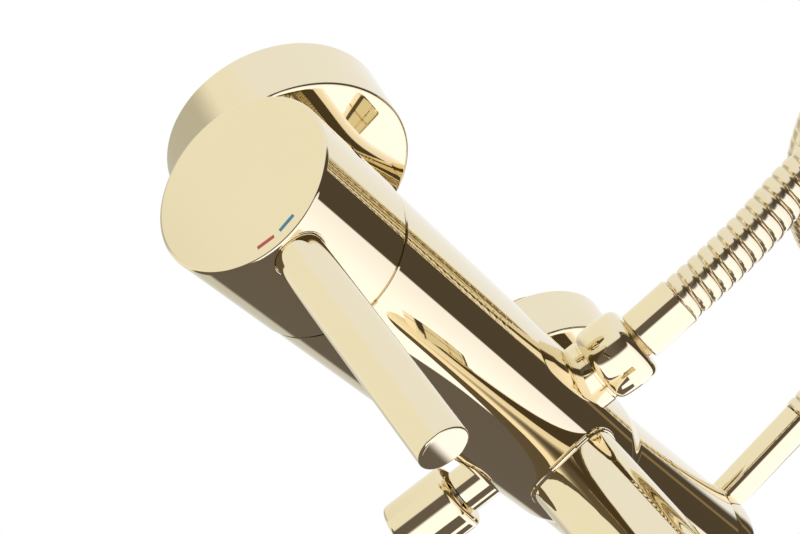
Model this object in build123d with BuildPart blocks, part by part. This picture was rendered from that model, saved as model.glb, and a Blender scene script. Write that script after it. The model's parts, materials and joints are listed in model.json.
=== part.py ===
from build123d import *
from math import cos, hypot, pi, radians, sin, sqrt, tan
import os

# Wall mounted bath and shower mixer: one lever at the right end, a spout in front,
# a pull-up diverter on top and a shower hose below, coiled and tied.
# Millimetres. X runs along the body to the right, Y into the wall, Z up.
# The origin lies on the wall, midway between the two wall threads.

# Driving dimensions of the body
inlet_spacing = 150.0
union_offset = 6.0
standoff = 57.7
body_radius = 22.4
body_wall = 3.0
body_past_inlet = 13.7
far_end_past_inlet = 64.0
waist_right = -47.0
waist_left = -58.0
waist_radius = 21.0
far_end_radius = 23.9

# Clearances
seat_clearance = 0.1
thread_clearance = 0.15
running_clearance = 0.05
loose_clearance = 0.3
overrun = 2.0
quarter_turn = 90.0
hexagon_turn = 30.0

# Wall connections
wall_thread_radius = 10.48
wall_thread_length = 15.0
wall_thread_relief = 1.0
wall_neck_radius = 9.4
union_thread_radius = 13.2
union_bore = 7.5
union_hex = 26.0
union_hex_depth = 6.0
union_to_pad = 7.8
rosette_radius = 30.8
rosette_gap = 0.4
rosette_wall = 1.5
rosette_edge = 2.3
washer_thickness = 1.4
nut_across = 30.0
nut_to_pad = 1.2
nut_length = 12.2
tail_radius = 9.8
tail_flange = 12.6
tail_flange_thickness = 1.8
tail_bore = 6.5
tail_reach = 4.0
inlet_pad_radius = 13.4
inlet_pad_reach = 23.9

# Cartridge, on the body axis, with depths from the body's right rim
bulkhead_depth = 40.7
bulkhead_thickness = 3.0
port_radius = 3.2
port_circle_radius = 8.5
cartridge_radius = 17.5
cartridge_base_depth = 28.7
base_seal_thickness = 1.2
cartridge_shoulder_depth = 8.7
cartridge_neck_radius = 14.5
cartridge_neck_depth = 2.1
disc_chamber_radius = 16.0
disc_chamber_depth = 9.1
fixed_disc_depth = 20.1
disc_thickness = 3.4
disc_gap = 0.2
moving_disc_radius = 10.5
moving_disc_thickness = 2.6
driver_thickness = 4.2
driver_pocket_radius = 2.75
driver_pocket_floor = 0.6
carrier_radius = 10.0
carrier_length = 14.8
carrier_slot = 14.8
nut_ring_bore = 14.8
nut_ring_length = 8.0

# Lever handle
seam_width = 1.2
seam_ring_radius = 21.6
seam_ring_thickness = 0.5
handle_radius = 22.7
handle_length = 34.4
handle_wall = 2.0
handle_floor = 12.8
handle_edge = 0.5
handle_hub_radius = 7.6
handle_hub_length = 8.0
dome_radius = 20.1
dome_wall = 1.5
dome_opening_angle = 53.0
lever_turn = 5.4
lever_lean = 4.8
lever_place = 29.3
lever_radius = 5.8
lever_length = 83.5
lever_edge = 0.6
lever_pocket_depth = 1.8
lever_stud_radius = 3.0
lever_stud_length = 9.0
lift_angle = 20.0
relief_margin = 1.0
relief_start = 1.15
stem_width = 7.6
stem_length = 20.7
stem_lower = 4.6
stem_neck_radius = 1.9
stem_ball_radius = 2.4
stem_reach = 12.0
pivot_pin_radius = 1.5
pivot_pin_length = 17.0
grub_radius = 2.0
grub_length = 3.6
mark_length = 4.6
mark_width = 1.0
mark_depth = 0.4
mark_circle = 19.5
mark_angle = 9.1

# Far end of the body
cap_length = 15.8
cap_radius = 25.5
cap_edge = 3.4
cap_flare_share = 0.62
cap_spigot_length = 9.0
cap_spigot_wall = 2.4
cap_face_thickness = 3.0
cradle_past_cap = 19.2
cradle_to_axis = 15.6
cradle_tilt = 10.9
cradle_radius = 14.4
cradle_top = 6.5
cradle_bottom = 9.0
cradle_stub_radius = 6.5
cradle_pin_radius = 3.5
cradle_pin_length = 2.6

# Spout
spout_x = -29.5
spout_slope = 8.0
spout_radius = 14.5
spout_wall = 2.0
spout_length = 111.0
spout_edge = 3.5
spout_tail_radius = 11.0
spout_tail_start = 17.5
spout_seal_wire = 1.2
aerator_back = 17.0
aerator_boss_radius = 13.4
aerator_boss_drop = 19.0
aerator_thread_radius = 11.0
aerator_thread_length = 5.5
aerator_length = 6.5
aerator_bore = 9.4
aerator_edge = 0.8
insert_length = 7.0
insert_hole = 0.9
insert_rings = 3
insert_rim = 1.2

# Diverter
diverter_x = -30.7
knob_radius = 10.8
knob_bottom = 31.6
knob_top = 53.6
knob_edge = 1.2
knob_skirt_edge = 1.6
bonnet_radius = 7.1
bonnet_top = 30.9
bonnet_tail_radius = 6.0
bonnet_tail_end = 16.4
spindle_radius = 3.0
spindle_top = 45.0
valve_radius = 9.5
valve_thickness = 3.0
valve_bottom = -14.4
diverter_travel = 8.0
spring_wire = 0.9
spring_radius = 4.6
spring_half_turns = 9

# Hose outlet
outlet_x = -22.3
outlet_neck_radius = 10.4
outlet_shoulder = 24.8
outlet_tail_radius = 8.2
outlet_tail_top = 14.7
outlet_thread_radius = 10.1
outlet_thread_end = 33.0
outlet_bore = 6.0
check_valve_length = 9.0
check_valve_bore = 3.4
hose_washer_thickness = 1.8
hose_nut_radius = 11.9
hose_nut_top = 25.0
hose_nut_bottom = 40.0
hose_nut_edge = 2.4
hose_nut_lip = 2.6
ferrule_radius = 7.7
ferrule_end = 57.0
ferrule_edge = 0.6
ferrule_neck_radius = 6.2
ferrule_neck_depth = 3.0
ferrule_tilt = 4.5
ferrule_start = 0.8
ferrule_flange_radius = 9.4
ferrule_flange_thickness = 1.5
ferrule_bore = 4.5

# Hose
hose_diameter = 14.6
first_run = 25.5
run_bend_drop = 108.0
run_bend_inset = 0.4
return_bend_drop = 113.5
return_bend_reach = 26.8
hose_bore = 4.6
rib_pitch = 4.0
rib_depth = 0.7
rib_crest_share = 0.45
rib_flank_share = 0.15
coil_pitch = 15.2
coil_half_turns = 5
coil_drop = 180.0
coil_to_axis = 10.1
tie_thickness = 1.6
tie_width = 10.0
tie_clearance = 0.4
sleeve_radius = 6.75
sleeve_end = 62.0
cone_bottom = 20.0
cone_top = 8.0
cone_radius = 11.5
cone_thread_radius = 9.4
cone_thread_depth = 7.2
cone_recess_radius = 9.0
cone_recess_depth = 2.1
cone_washer_thickness = 1.8

# Places worked out from the sizes above
axis_y = -standoff
axis_z = union_offset
inlet_x = inlet_spacing / 2
body_right = inlet_x + body_past_inlet
body_left = -inlet_x - far_end_past_inlet
body_bore = body_radius - body_wall
body_length = body_right - body_left
rim_x = body_right + seam_width
inlet_pad_end = standoff - inlet_pad_reach
union_end = inlet_pad_end - union_to_pad
nut_front = inlet_pad_end - nut_to_pad
nut_back = nut_front - nut_length
rosette_depth = nut_back - rosette_gap
bulkhead_left = body_right - bulkhead_depth
cartridge_base_end = body_right - cartridge_base_depth
cartridge_shoulder = body_right - cartridge_shoulder_depth
cartridge_neck_end = body_right - cartridge_neck_depth
disc_chamber_end = body_right - disc_chamber_depth
fixed_disc_left = body_right - fixed_disc_depth
handle_end = rim_x + handle_length
lever_root = rim_x + lever_place
stem_end = rim_x + stem_length
cap_end = body_left - cap_length
cradle_x = cap_end - cradle_past_cap
cradle_y = axis_y + cradle_to_axis
lever_direction = Vector(0, -cos(radians(lever_turn)), -sin(radians(lever_turn)))
lift_axis = Vector(0, -sin(radians(lever_turn)), cos(radians(lever_turn)))
body_axis = Axis((0, axis_y, axis_z), (1, 0, 0))
pivot = Vector(rim_x, axis_y, axis_z)
hose_radius = hose_diameter / 2
coil_centre_x = (outlet_x + cradle_x) / 2
coil_radius = (outlet_x - cradle_x) / 2
coil_z = axis_z - coil_drop
coil_start_y = axis_y + coil_to_axis

os.makedirs("parts", exist_ok=True)


def save(piece, name):
    piece.part.label = name
    export_step(piece.part, f"parts/{name}.step")


def across_body(x):
    """A plane square to the body axis at x: local X to the wall, local Y up."""
    return Plane(origin=(x, axis_y, axis_z), x_dir=(0, 1, 0), z_dir=(1, 0, 0))


def along_body():
    """The half plane for profiles turned about the body axis: (x, radius)."""
    return Plane(origin=(0, axis_y, axis_z), x_dir=(1, 0, 0), z_dir=(0, 0, 1))


def across_handle(x):
    """A plane square to the body axis at x: local X along the lever."""
    return Plane(origin=(x, axis_y, axis_z), x_dir=lever_direction, z_dir=(1, 0, 0))


def from_wall(x, y, z):
    """A plane parallel to the wall, facing the bather."""
    return Plane(origin=(x, y, z), x_dir=(1, 0, 0), z_dir=(0, -1, 0))


def level(x, z):
    """A level plane on a vertical line that crosses the body axis."""
    return Plane(origin=(x, axis_y, axis_z + z), x_dir=(1, 0, 0), z_dir=(0, 0, 1))


# Wall connections, one at each inlet
for side, sign in (("left", -1), ("right", 1)):
    x = sign * inlet_x
    with BuildPart() as s_union:
        with BuildSketch(from_wall(x, wall_thread_length, 0)):
            Circle(wall_thread_radius)
        extrude(amount=wall_thread_length - wall_thread_relief)
        with BuildSketch(from_wall(x, wall_thread_relief, 0)):
            Circle(wall_neck_radius)
        extrude(amount=wall_thread_relief + union_hex_depth)
        with BuildSketch(from_wall(x, 0, axis_z / 2)):
            RegularPolygon(union_hex / 2, 6, major_radius=False)
        extrude(amount=union_hex_depth)
        with BuildSketch(from_wall(x, 0, axis_z)):
            Circle(union_thread_radius)
        extrude(amount=union_end)
        with BuildSketch(from_wall(x, 0, axis_z).offset(union_end)):
            Circle(union_bore)
        extrude(amount=-union_end + union_hex_depth / 2, mode=Mode.SUBTRACT)
        with BuildSketch(from_wall(x, wall_thread_length, 0)):
            Circle(union_bore)
        extrude(amount=wall_thread_length + union_hex_depth, mode=Mode.SUBTRACT)
    save(s_union, f"s_union_{side}")

    rosette_plane = Plane(origin=(x, 0, axis_z), x_dir=(1, 0, 0), z_dir=(0, 0, 1))
    rosette_axis = Axis((x, 0, axis_z), (0, 1, 0))
    hole = union_thread_radius + loose_clearance
    with BuildPart() as rosette:
        with BuildSketch(rosette_plane):
            with BuildLine():
                Polyline(
                    (hole, -rosette_depth),
                    (rosette_radius - rosette_edge, -rosette_depth),
                )
                ThreePointArc(
                    (rosette_radius - rosette_edge, -rosette_depth),
                    (
                        rosette_radius - rosette_edge + rosette_edge * sin(pi / 4),
                        -rosette_depth + rosette_edge - rosette_edge * cos(pi / 4),
                    ),
                    (rosette_radius, -rosette_depth + rosette_edge),
                )
                Polyline(
                    (rosette_radius, -rosette_depth + rosette_edge),
                    (rosette_radius, 0),
                    (rosette_radius - rosette_wall, 0),
                    (rosette_radius - rosette_wall, -rosette_depth + rosette_edge),
                    (rosette_radius - rosette_edge, -rosette_depth + rosette_wall),
                    (hole, -rosette_depth + rosette_wall),
                    (hole, -rosette_depth),
                )
            make_face()
        revolve(axis=rosette_axis)
    save(rosette, f"rosette_{side}")

    with BuildPart() as inlet_washer:
        with BuildSketch(from_wall(x, -union_end, axis_z)):
            Circle(tail_flange)
            Circle(tail_bore, mode=Mode.SUBTRACT)
        extrude(amount=washer_thickness)
    save(inlet_washer, f"inlet_washer_{side}")

    flange_y = -union_end - washer_thickness
    with BuildPart() as inlet_tail:
        with BuildSketch(from_wall(x, flange_y, axis_z)):
            Circle(tail_flange)
        extrude(amount=tail_flange_thickness)
        with BuildSketch(from_wall(x, flange_y, axis_z)):
            Circle(tail_radius)
        extrude(amount=inlet_pad_end + tail_reach + flange_y)
        with BuildSketch(from_wall(x, flange_y, axis_z)):
            Circle(tail_bore)
        extrude(amount=inlet_pad_end + tail_reach + flange_y, mode=Mode.SUBTRACT)
    save(inlet_tail, f"inlet_tail_{side}")

    with BuildPart() as union_nut:
        with BuildSketch(from_wall(x, -nut_back, axis_z)):
            RegularPolygon(nut_across / 2, 6, major_radius=False, rotation=hexagon_turn)
        extrude(amount=nut_front - nut_back)
        corner_radius = nut_across / 2 / cos(pi / 6)
        chamfer_size = (corner_radius - nut_across / 2) / 2
        with BuildSketch(from_wall(x, -nut_back, axis_z)):
            Circle(corner_radius - chamfer_size)
        extrude(amount=nut_front - nut_back, mode=Mode.INTERSECT)
        with BuildSketch(from_wall(x, -nut_back, axis_z)):
            Circle(union_thread_radius + thread_clearance)
        seat = -flange_y + tail_flange_thickness + seat_clearance
        extrude(amount=seat - nut_back, mode=Mode.SUBTRACT)
        with BuildSketch(from_wall(x, -nut_back, axis_z)):
            Circle(tail_radius + loose_clearance)
        extrude(amount=nut_front - nut_back, mode=Mode.SUBTRACT)
    save(union_nut, f"union_nut_{side}")

# The turned brass body, hollow, with its pads, ports and cartridge chamber
widening = (far_end_radius - waist_radius) / (body_left - waist_left)
with BuildPart() as mixer_body:
    with BuildSketch(along_body()):
        with BuildLine():
            Spline(
                (waist_right, body_radius),
                (waist_left, waist_radius),
                tangents=[(-1, 0), (-1, -widening)],
            )
            Polyline(
                (waist_left, waist_radius),
                (body_left, far_end_radius),
                (body_left, 0),
                (body_right, 0),
                (body_right, body_radius),
                (waist_right, body_radius),
            )
        make_face()
    revolve(axis=body_axis)
    for x in (-inlet_x, inlet_x):
        with BuildSketch(from_wall(x, -inlet_pad_end, axis_z)):
            Circle(inlet_pad_radius)
        extrude(amount=standoff - inlet_pad_end)
    with BuildSketch(across_body(body_left)):
        Circle(body_bore)
    extrude(amount=bulkhead_left - body_left, mode=Mode.SUBTRACT)
    with BuildSketch(across_body(bulkhead_left + bulkhead_thickness)):
        Circle(body_bore)
    chamber_length = body_right - bulkhead_left - bulkhead_thickness
    extrude(amount=chamber_length, mode=Mode.SUBTRACT)
    with BuildSketch(across_body(bulkhead_left)):
        with PolarLocations(port_circle_radius, 3):
            Circle(port_radius)
    extrude(amount=bulkhead_thickness, mode=Mode.SUBTRACT)
    for x in (-inlet_x, inlet_x):
        with BuildSketch(from_wall(x, -inlet_pad_end, axis_z)):
            Circle(tail_radius + seat_clearance)
        extrude(amount=tail_reach + body_wall, mode=Mode.SUBTRACT)
    spout_hole = Plane(
        origin=(spout_x, axis_y, axis_z),
        x_dir=(1, 0, 0),
        z_dir=(0, -cos(radians(spout_slope)), -sin(radians(spout_slope))),
    )
    with BuildSketch(spout_hole):
        Circle(spout_tail_radius + seat_clearance)
    extrude(amount=body_radius + overrun, mode=Mode.SUBTRACT)
    with BuildSketch(level(diverter_x, 0)):
        Circle(bonnet_tail_radius + seat_clearance)
    extrude(amount=body_radius + overrun, mode=Mode.SUBTRACT)
    with BuildSketch(level(outlet_x, 0)):
        Circle(outlet_tail_radius + seat_clearance)
    extrude(amount=-body_radius - overrun, mode=Mode.SUBTRACT)
save(mixer_body, "mixer_body")

# End cap, turned, with a flared rounded head and a spigot in the body
spigot_radius = body_bore - seat_clearance
flare_start = (body_left, far_end_radius)
flare_end = (body_left - cap_length + cap_edge, cap_radius)
flare_middle_x = (flare_start[0] + flare_end[0]) / 2
flare_rise = cap_radius - far_end_radius
flare_middle_radius = far_end_radius + flare_rise * cap_flare_share
edge_middle = cap_edge * sin(pi / 4)
with BuildPart() as end_cap:
    with BuildSketch(along_body()):
        with BuildLine():
            ThreePointArc(
                flare_start, (flare_middle_x, flare_middle_radius), flare_end
            )
            ThreePointArc(
                flare_end,
                (
                    flare_end[0] - edge_middle,
                    cap_radius - cap_edge + edge_middle,
                ),
                (cap_end, cap_radius - cap_edge),
            )
            Polyline(
                (cap_end, cap_radius - cap_edge),
                (cap_end, 0),
                (cap_end + cap_face_thickness, 0),
                (cap_end + cap_face_thickness, spigot_radius - cap_spigot_wall),
                (body_left + cap_spigot_length, spigot_radius - cap_spigot_wall),
                (body_left + cap_spigot_length, spigot_radius),
                (body_left, spigot_radius),
                flare_start,
            )
        make_face()
    revolve(axis=body_axis)
    cradle_foot = Plane(
        origin=(cap_end, cradle_y, axis_z), x_dir=(0, 1, 0), z_dir=(1, 0, 0)
    )
    with BuildSketch(cradle_foot):
        Circle(cradle_pin_radius + seat_clearance)
    extrude(amount=cap_face_thickness, mode=Mode.SUBTRACT)
save(end_cap, "end_cap")

# Rest for the hose end: an open conical ring on a stub from the end cap
cradle_up = Vector(0, -sin(radians(cradle_tilt)), cos(radians(cradle_tilt)))


def cradle_plane(height):
    """A plane square to the tilted axis of the hose end, at a height along it."""
    origin = Vector(cradle_x, cradle_y, axis_z) + cradle_up * height
    return Plane(origin=origin, x_dir=(1, 0, 0), z_dir=cradle_up)


def cone_radius_at(height):
    """The radius of the hose end's cone at a height along its axis."""
    rise = (height + cone_bottom) / (cone_top + cone_bottom)
    return sleeve_radius + (cone_radius - sleeve_radius) * rise


with BuildPart() as handset_cradle:
    with BuildSketch(cradle_plane(-cradle_bottom)):
        Circle(cradle_radius)
    extrude(amount=cradle_bottom + cradle_top)
    ring_rims = handset_cradle.edges().filter_by(GeomType.CIRCLE)
    fillet(ring_rims, cradle_radius / 12)
    with BuildSketch(cradle_foot):
        Circle(cradle_stub_radius)
    extrude(amount=cradle_x - cap_end)
    with BuildSketch(cradle_foot):
        Circle(cradle_pin_radius)
    extrude(amount=cradle_pin_length)
    with BuildSketch(cradle_plane(-cradle_bottom - overrun)):
        Circle(cone_radius_at(-cradle_bottom - overrun) + seat_clearance)
    with BuildSketch(cradle_plane(cradle_top + overrun)):
        Circle(cone_radius_at(cradle_top + overrun) + seat_clearance)
    loft(mode=Mode.SUBTRACT)
    slot_width = 2 * (sleeve_radius + 2 * loose_clearance)
    with BuildSketch(cradle_plane(-cradle_bottom - overrun)):
        with Locations((-cradle_radius / 2 - overrun / 2, 0)):
            Rectangle(cradle_radius + overrun, slot_width)
    extrude(amount=cradle_bottom + cradle_top + 2 * overrun, mode=Mode.SUBTRACT)
save(handset_cradle, "handset_cradle")

# Cartridge: base, seal, housing with its disc chamber, and clamping nut
base_left = bulkhead_left + bulkhead_thickness + base_seal_thickness
with BuildPart() as base_seal:
    with BuildSketch(across_body(bulkhead_left + bulkhead_thickness)):
        Circle(port_circle_radius + port_radius + overrun)
        with PolarLocations(port_circle_radius, 3):
            Circle(port_radius, mode=Mode.SUBTRACT)
    extrude(amount=base_seal_thickness)
save(base_seal, "base_seal")

with BuildPart() as cartridge_base:
    with BuildSketch(across_body(base_left)):
        Circle(cartridge_radius)
        with PolarLocations(port_circle_radius, 3):
            Circle(port_radius, mode=Mode.SUBTRACT)
    extrude(amount=cartridge_base_end - base_left)
save(cartridge_base, "cartridge_base")

with BuildPart() as cartridge_housing:
    with BuildSketch(across_body(cartridge_base_end)):
        Circle(cartridge_radius)
    extrude(amount=cartridge_shoulder - cartridge_base_end)
    with BuildSketch(across_body(cartridge_shoulder)):
        Circle(cartridge_neck_radius)
    extrude(amount=cartridge_neck_end - cartridge_shoulder)
    with BuildSketch(across_body(cartridge_base_end)):
        with PolarLocations(port_circle_radius, 3):
            Circle(port_radius)
    extrude(amount=fixed_disc_left - cartridge_base_end, mode=Mode.SUBTRACT)
    with BuildSketch(across_body(fixed_disc_left)):
        Circle(disc_chamber_radius)
    extrude(amount=disc_chamber_end - fixed_disc_left, mode=Mode.SUBTRACT)
    with BuildSketch(across_body(fixed_disc_left)):
        Circle(carrier_radius + running_clearance)
    extrude(amount=cartridge_neck_end - fixed_disc_left, mode=Mode.SUBTRACT)
save(cartridge_housing, "cartridge_housing")

with BuildPart() as ceramic_disc_fixed:
    with BuildSketch(across_body(fixed_disc_left)):
        Circle(disc_chamber_radius - thread_clearance)
        with PolarLocations(port_circle_radius, 3):
            Circle(port_radius, mode=Mode.SUBTRACT)
    extrude(amount=disc_thickness)
save(ceramic_disc_fixed, "ceramic_disc_fixed")

nut_ring_left = cartridge_shoulder + seat_clearance
with BuildPart() as cartridge_nut:
    with BuildSketch(across_body(nut_ring_left)):
        Circle(body_bore - thread_clearance)
        Circle(nut_ring_bore, mode=Mode.SUBTRACT)
    extrude(amount=nut_ring_length)
    notch_depth = (body_bore - nut_ring_bore) / 2
    with BuildSketch(across_body(nut_ring_left + nut_ring_length)):
        with PolarLocations(nut_ring_bore, 6):
            Rectangle(notch_depth, notch_depth)
    extrude(amount=-notch_depth, mode=Mode.SUBTRACT)
save(cartridge_nut, "cartridge_nut")

# Moving disc and its driver, which slide and turn on the fixed disc
moving_disc_left = fixed_disc_left + disc_thickness + disc_gap
driver_left = moving_disc_left + moving_disc_thickness
driver_right = driver_left + driver_thickness
with BuildPart() as ceramic_disc_moving:
    with BuildSketch(across_handle(moving_disc_left)):
        Circle(moving_disc_radius)
        slot_reach = 2 * moving_disc_radius - 2 * port_radius
        SlotOverall(slot_reach, port_radius, quarter_turn, mode=Mode.SUBTRACT)
    extrude(amount=moving_disc_thickness)
save(ceramic_disc_moving, "ceramic_disc_moving")

with BuildPart() as disc_driver:
    with BuildSketch(across_handle(driver_left)):
        Circle(moving_disc_radius)
    extrude(amount=driver_thickness)
    with BuildSketch(across_handle(driver_left + driver_pocket_floor)):
        Circle(driver_pocket_radius)
    extrude(amount=driver_thickness - driver_pocket_floor, mode=Mode.SUBTRACT)
save(disc_driver, "disc_driver")

# Turning carrier with the pivot pin that the stem rocks on
carrier_left = driver_right + 2 * disc_gap
with BuildPart() as cartridge_carrier:
    with BuildSketch(across_handle(carrier_left)):
        Circle(carrier_radius)
        Rectangle(carrier_slot, stem_width + 2 * loose_clearance, mode=Mode.SUBTRACT)
    extrude(amount=carrier_length)
    pin_plane = Plane(
        origin=pivot - lift_axis * carrier_radius,
        x_dir=(1, 0, 0),
        z_dir=lift_axis,
    )
    with BuildSketch(pin_plane):
        Circle(pivot_pin_radius)
    extrude(amount=2 * carrier_radius, mode=Mode.SUBTRACT)
save(cartridge_carrier, "cartridge_carrier")

with BuildPart() as stem_pivot_pin:
    with BuildSketch(
        Plane(
            origin=pivot - lift_axis * (pivot_pin_length / 2),
            x_dir=(1, 0, 0),
            z_dir=lift_axis,
        )
    ):
        Circle(pivot_pin_radius)
    extrude(amount=pivot_pin_length)
save(stem_pivot_pin, "stem_pivot_pin")

ball_x = rim_x - stem_reach
neck_x = ball_x + sqrt(stem_ball_radius**2 - stem_neck_radius**2)
with BuildPart() as cartridge_stem:
    with BuildSketch(across_handle(rim_x - stem_lower)):
        Rectangle(stem_width, stem_width)
    extrude(amount=stem_end - rim_x + stem_lower)
    with BuildSketch(along_body()):
        with BuildLine():
            ThreePointArc(
                (ball_x - stem_ball_radius, 0),
                (ball_x, stem_ball_radius),
                (neck_x, stem_neck_radius),
            )
            Polyline(
                (neck_x, stem_neck_radius),
                (rim_x - stem_lower + running_clearance, stem_neck_radius),
                (rim_x - stem_lower + running_clearance, 0),
                (ball_x - stem_ball_radius, 0),
            )
        make_face()
    revolve(axis=body_axis)
    with BuildSketch(pin_plane):
        Circle(pivot_pin_radius + running_clearance)
    extrude(amount=2 * carrier_radius, mode=Mode.SUBTRACT)
save(cartridge_stem, "cartridge_stem")

# Dome ring that closes the seam under the handle
ring_right = body_right + seam_ring_thickness


def dome_point(radius, angle):
    """A point of the dome's profile at a radius and an angle from the body axis."""
    turn = radians(angle)
    return (rim_x + radius * cos(turn), radius * sin(turn))


dome_inside = dome_radius - dome_wall
dome_middle = (quarter_turn + dome_opening_angle) / 2
with BuildPart() as dome_ring:
    with BuildSketch(along_body()):
        with BuildLine():
            ThreePointArc(
                dome_point(dome_radius, quarter_turn),
                dome_point(dome_radius, dome_middle),
                dome_point(dome_radius, dome_opening_angle),
            )
            Line(
                dome_point(dome_radius, dome_opening_angle),
                dome_point(dome_inside, dome_opening_angle),
            )
            ThreePointArc(
                dome_point(dome_inside, dome_opening_angle),
                dome_point(dome_inside, dome_middle),
                dome_point(dome_inside, quarter_turn),
            )
            Polyline(
                dome_point(dome_inside, quarter_turn),
                (body_right, dome_inside),
                (body_right, seam_ring_radius),
                (ring_right, seam_ring_radius),
                (ring_right, dome_radius),
                dome_point(dome_radius, quarter_turn),
            )
        make_face()
    revolve(axis=body_axis)
save(dome_ring, "dome_ring")

# Handle barrel: a cup with a hub, its wall side relieved so that it can rock
cavity_end = handle_end - handle_floor
lever_axis = (
    lever_direction * cos(radians(lever_lean)) - Vector(1, 0, 0) * sin(radians(lever_lean))
).normalized()
lever_origin = Vector(lever_root, axis_y, axis_z)


def lever_plane(reach):
    """A plane square to the lever, at a distance from the body axis."""
    return Plane(
        origin=lever_origin + lever_axis * reach, x_dir=lift_axis, z_dir=lever_axis
    )


def mark_place(sign):
    """The plane of an index mark, sunk in the end face."""
    face = across_handle(handle_end)
    turn = radians(sign * mark_angle)
    across = lever_direction * cos(turn) + face.y_dir * sin(turn)
    return Plane(
        origin=Vector(handle_end, axis_y, axis_z) + across * mark_circle,
        x_dir=across,
        z_dir=(1, 0, 0),
    )


lever_pocket = handle_radius - lever_pocket_depth
with BuildPart() as handle_barrel:
    with BuildSketch(across_handle(rim_x)):
        Circle(handle_radius)
    extrude(amount=handle_end - rim_x)
    fillet(handle_barrel.edges().group_by(Axis.X)[-1], handle_edge)
    with BuildSketch(across_handle(rim_x)):
        Circle(handle_radius - handle_wall)
        Circle(handle_hub_radius, mode=Mode.SUBTRACT)
    extrude(amount=cavity_end - rim_x, mode=Mode.SUBTRACT)
    with BuildSketch(across_handle(rim_x)):
        Circle(handle_hub_radius + seat_clearance)
    hub_start = cavity_end - handle_hub_length
    extrude(amount=hub_start - rim_x, mode=Mode.SUBTRACT)
    with BuildSketch(across_handle(hub_start)):
        Rectangle(stem_width + 2 * seat_clearance, stem_width + 2 * seat_clearance)
    extrude(amount=stem_end + seat_clearance - hub_start, mode=Mode.SUBTRACT)
    relief = radians(lift_angle + relief_margin)
    relief_rise = 2 * handle_radius * tan(relief)
    side_plane = Plane(
        origin=pivot - lift_axis * (2 * handle_radius),
        x_dir=(1, 0, 0),
        z_dir=lift_axis,
    )
    with BuildSketch(side_plane):
        with BuildLine():
            Polyline(
                (0, relief_start),
                (relief_rise, relief_start + 2 * handle_radius),
                (-overrun, relief_start + 2 * handle_radius),
                (-overrun, relief_start),
                (0, relief_start),
            )
        make_face()
    extrude(amount=4 * handle_radius, mode=Mode.SUBTRACT)
    with BuildSketch(lever_plane(lever_pocket)):
        Circle(lever_radius + loose_clearance)
    extrude(amount=lever_pocket_depth + overrun, mode=Mode.SUBTRACT)
    with BuildSketch(lever_plane(lever_pocket)):
        Circle(lever_stud_radius + seat_clearance)
    extrude(amount=-lever_stud_length - seat_clearance, mode=Mode.SUBTRACT)
    grub_x = (hub_start + stem_end) / 2
    grub_plane = Plane(
        origin=(grub_x, axis_y, axis_z), x_dir=(1, 0, 0), z_dir=-lift_axis
    )
    with BuildSketch(grub_plane.offset(stem_width / 2)):
        Circle(grub_radius + seat_clearance)
    extrude(amount=handle_radius, mode=Mode.SUBTRACT)
    for sign in (-1, 1):
        with BuildSketch(mark_place(sign)):
            Rectangle(mark_width, mark_length)
        extrude(amount=-mark_depth, mode=Mode.SUBTRACT)
save(handle_barrel, "handle_barrel")

for sign, name in ((-1, "hot_mark"), (1, "cold_mark")):
    with BuildPart() as index_mark:
        with BuildSketch(mark_place(sign)):
            Rectangle(mark_width, mark_length)
        extrude(amount=-mark_depth)
    save(index_mark, name)

with BuildPart() as lever_pin:
    with BuildSketch(lever_plane(lever_pocket + seat_clearance)):
        Circle(lever_radius)
    extrude(amount=lever_length - lever_pocket - seat_clearance)
    far_edges = lever_pin.edges().sort_by(Axis(lever_origin, lever_axis))[-1]
    fillet(far_edges, lever_edge)
    with BuildSketch(lever_plane(lever_pocket + seat_clearance)):
        Circle(lever_stud_radius)
    extrude(amount=-lever_stud_length)
save(lever_pin, "lever_pin")

with BuildPart() as handle_grub_screw:
    with BuildSketch(grub_plane.offset(stem_width / 2 + seat_clearance)):
        Circle(grub_radius)
    extrude(amount=grub_length)
    with BuildSketch(grub_plane.offset(stem_width / 2 + seat_clearance + grub_length)):
        RegularPolygon(grub_radius / 2, 6)
    extrude(amount=-grub_length / 2, mode=Mode.SUBTRACT)
save(handle_grub_screw, "handle_grub_screw")

# Spout: a sloping tube saddled on the body, with a threaded boss below its tip
spout_direction = Vector(0, -cos(radians(spout_slope)), -sin(radians(spout_slope)))
spout_origin = Vector(spout_x, axis_y, axis_z)


def spout_plane(reach):
    """A plane square to the spout, at a distance from the body axis."""
    return Plane(
        origin=spout_origin + spout_direction * reach,
        x_dir=(1, 0, 0),
        z_dir=spout_direction,
    )


aerator_centre = spout_origin + spout_direction * (spout_length - aerator_back)


def aerator_plane(drop):
    """A level plane below the middle of the aerator, facing down."""
    return Plane(
        origin=aerator_centre - Vector(0, 0, drop), x_dir=(1, 0, 0), z_dir=(0, 0, -1)
    )


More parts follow.
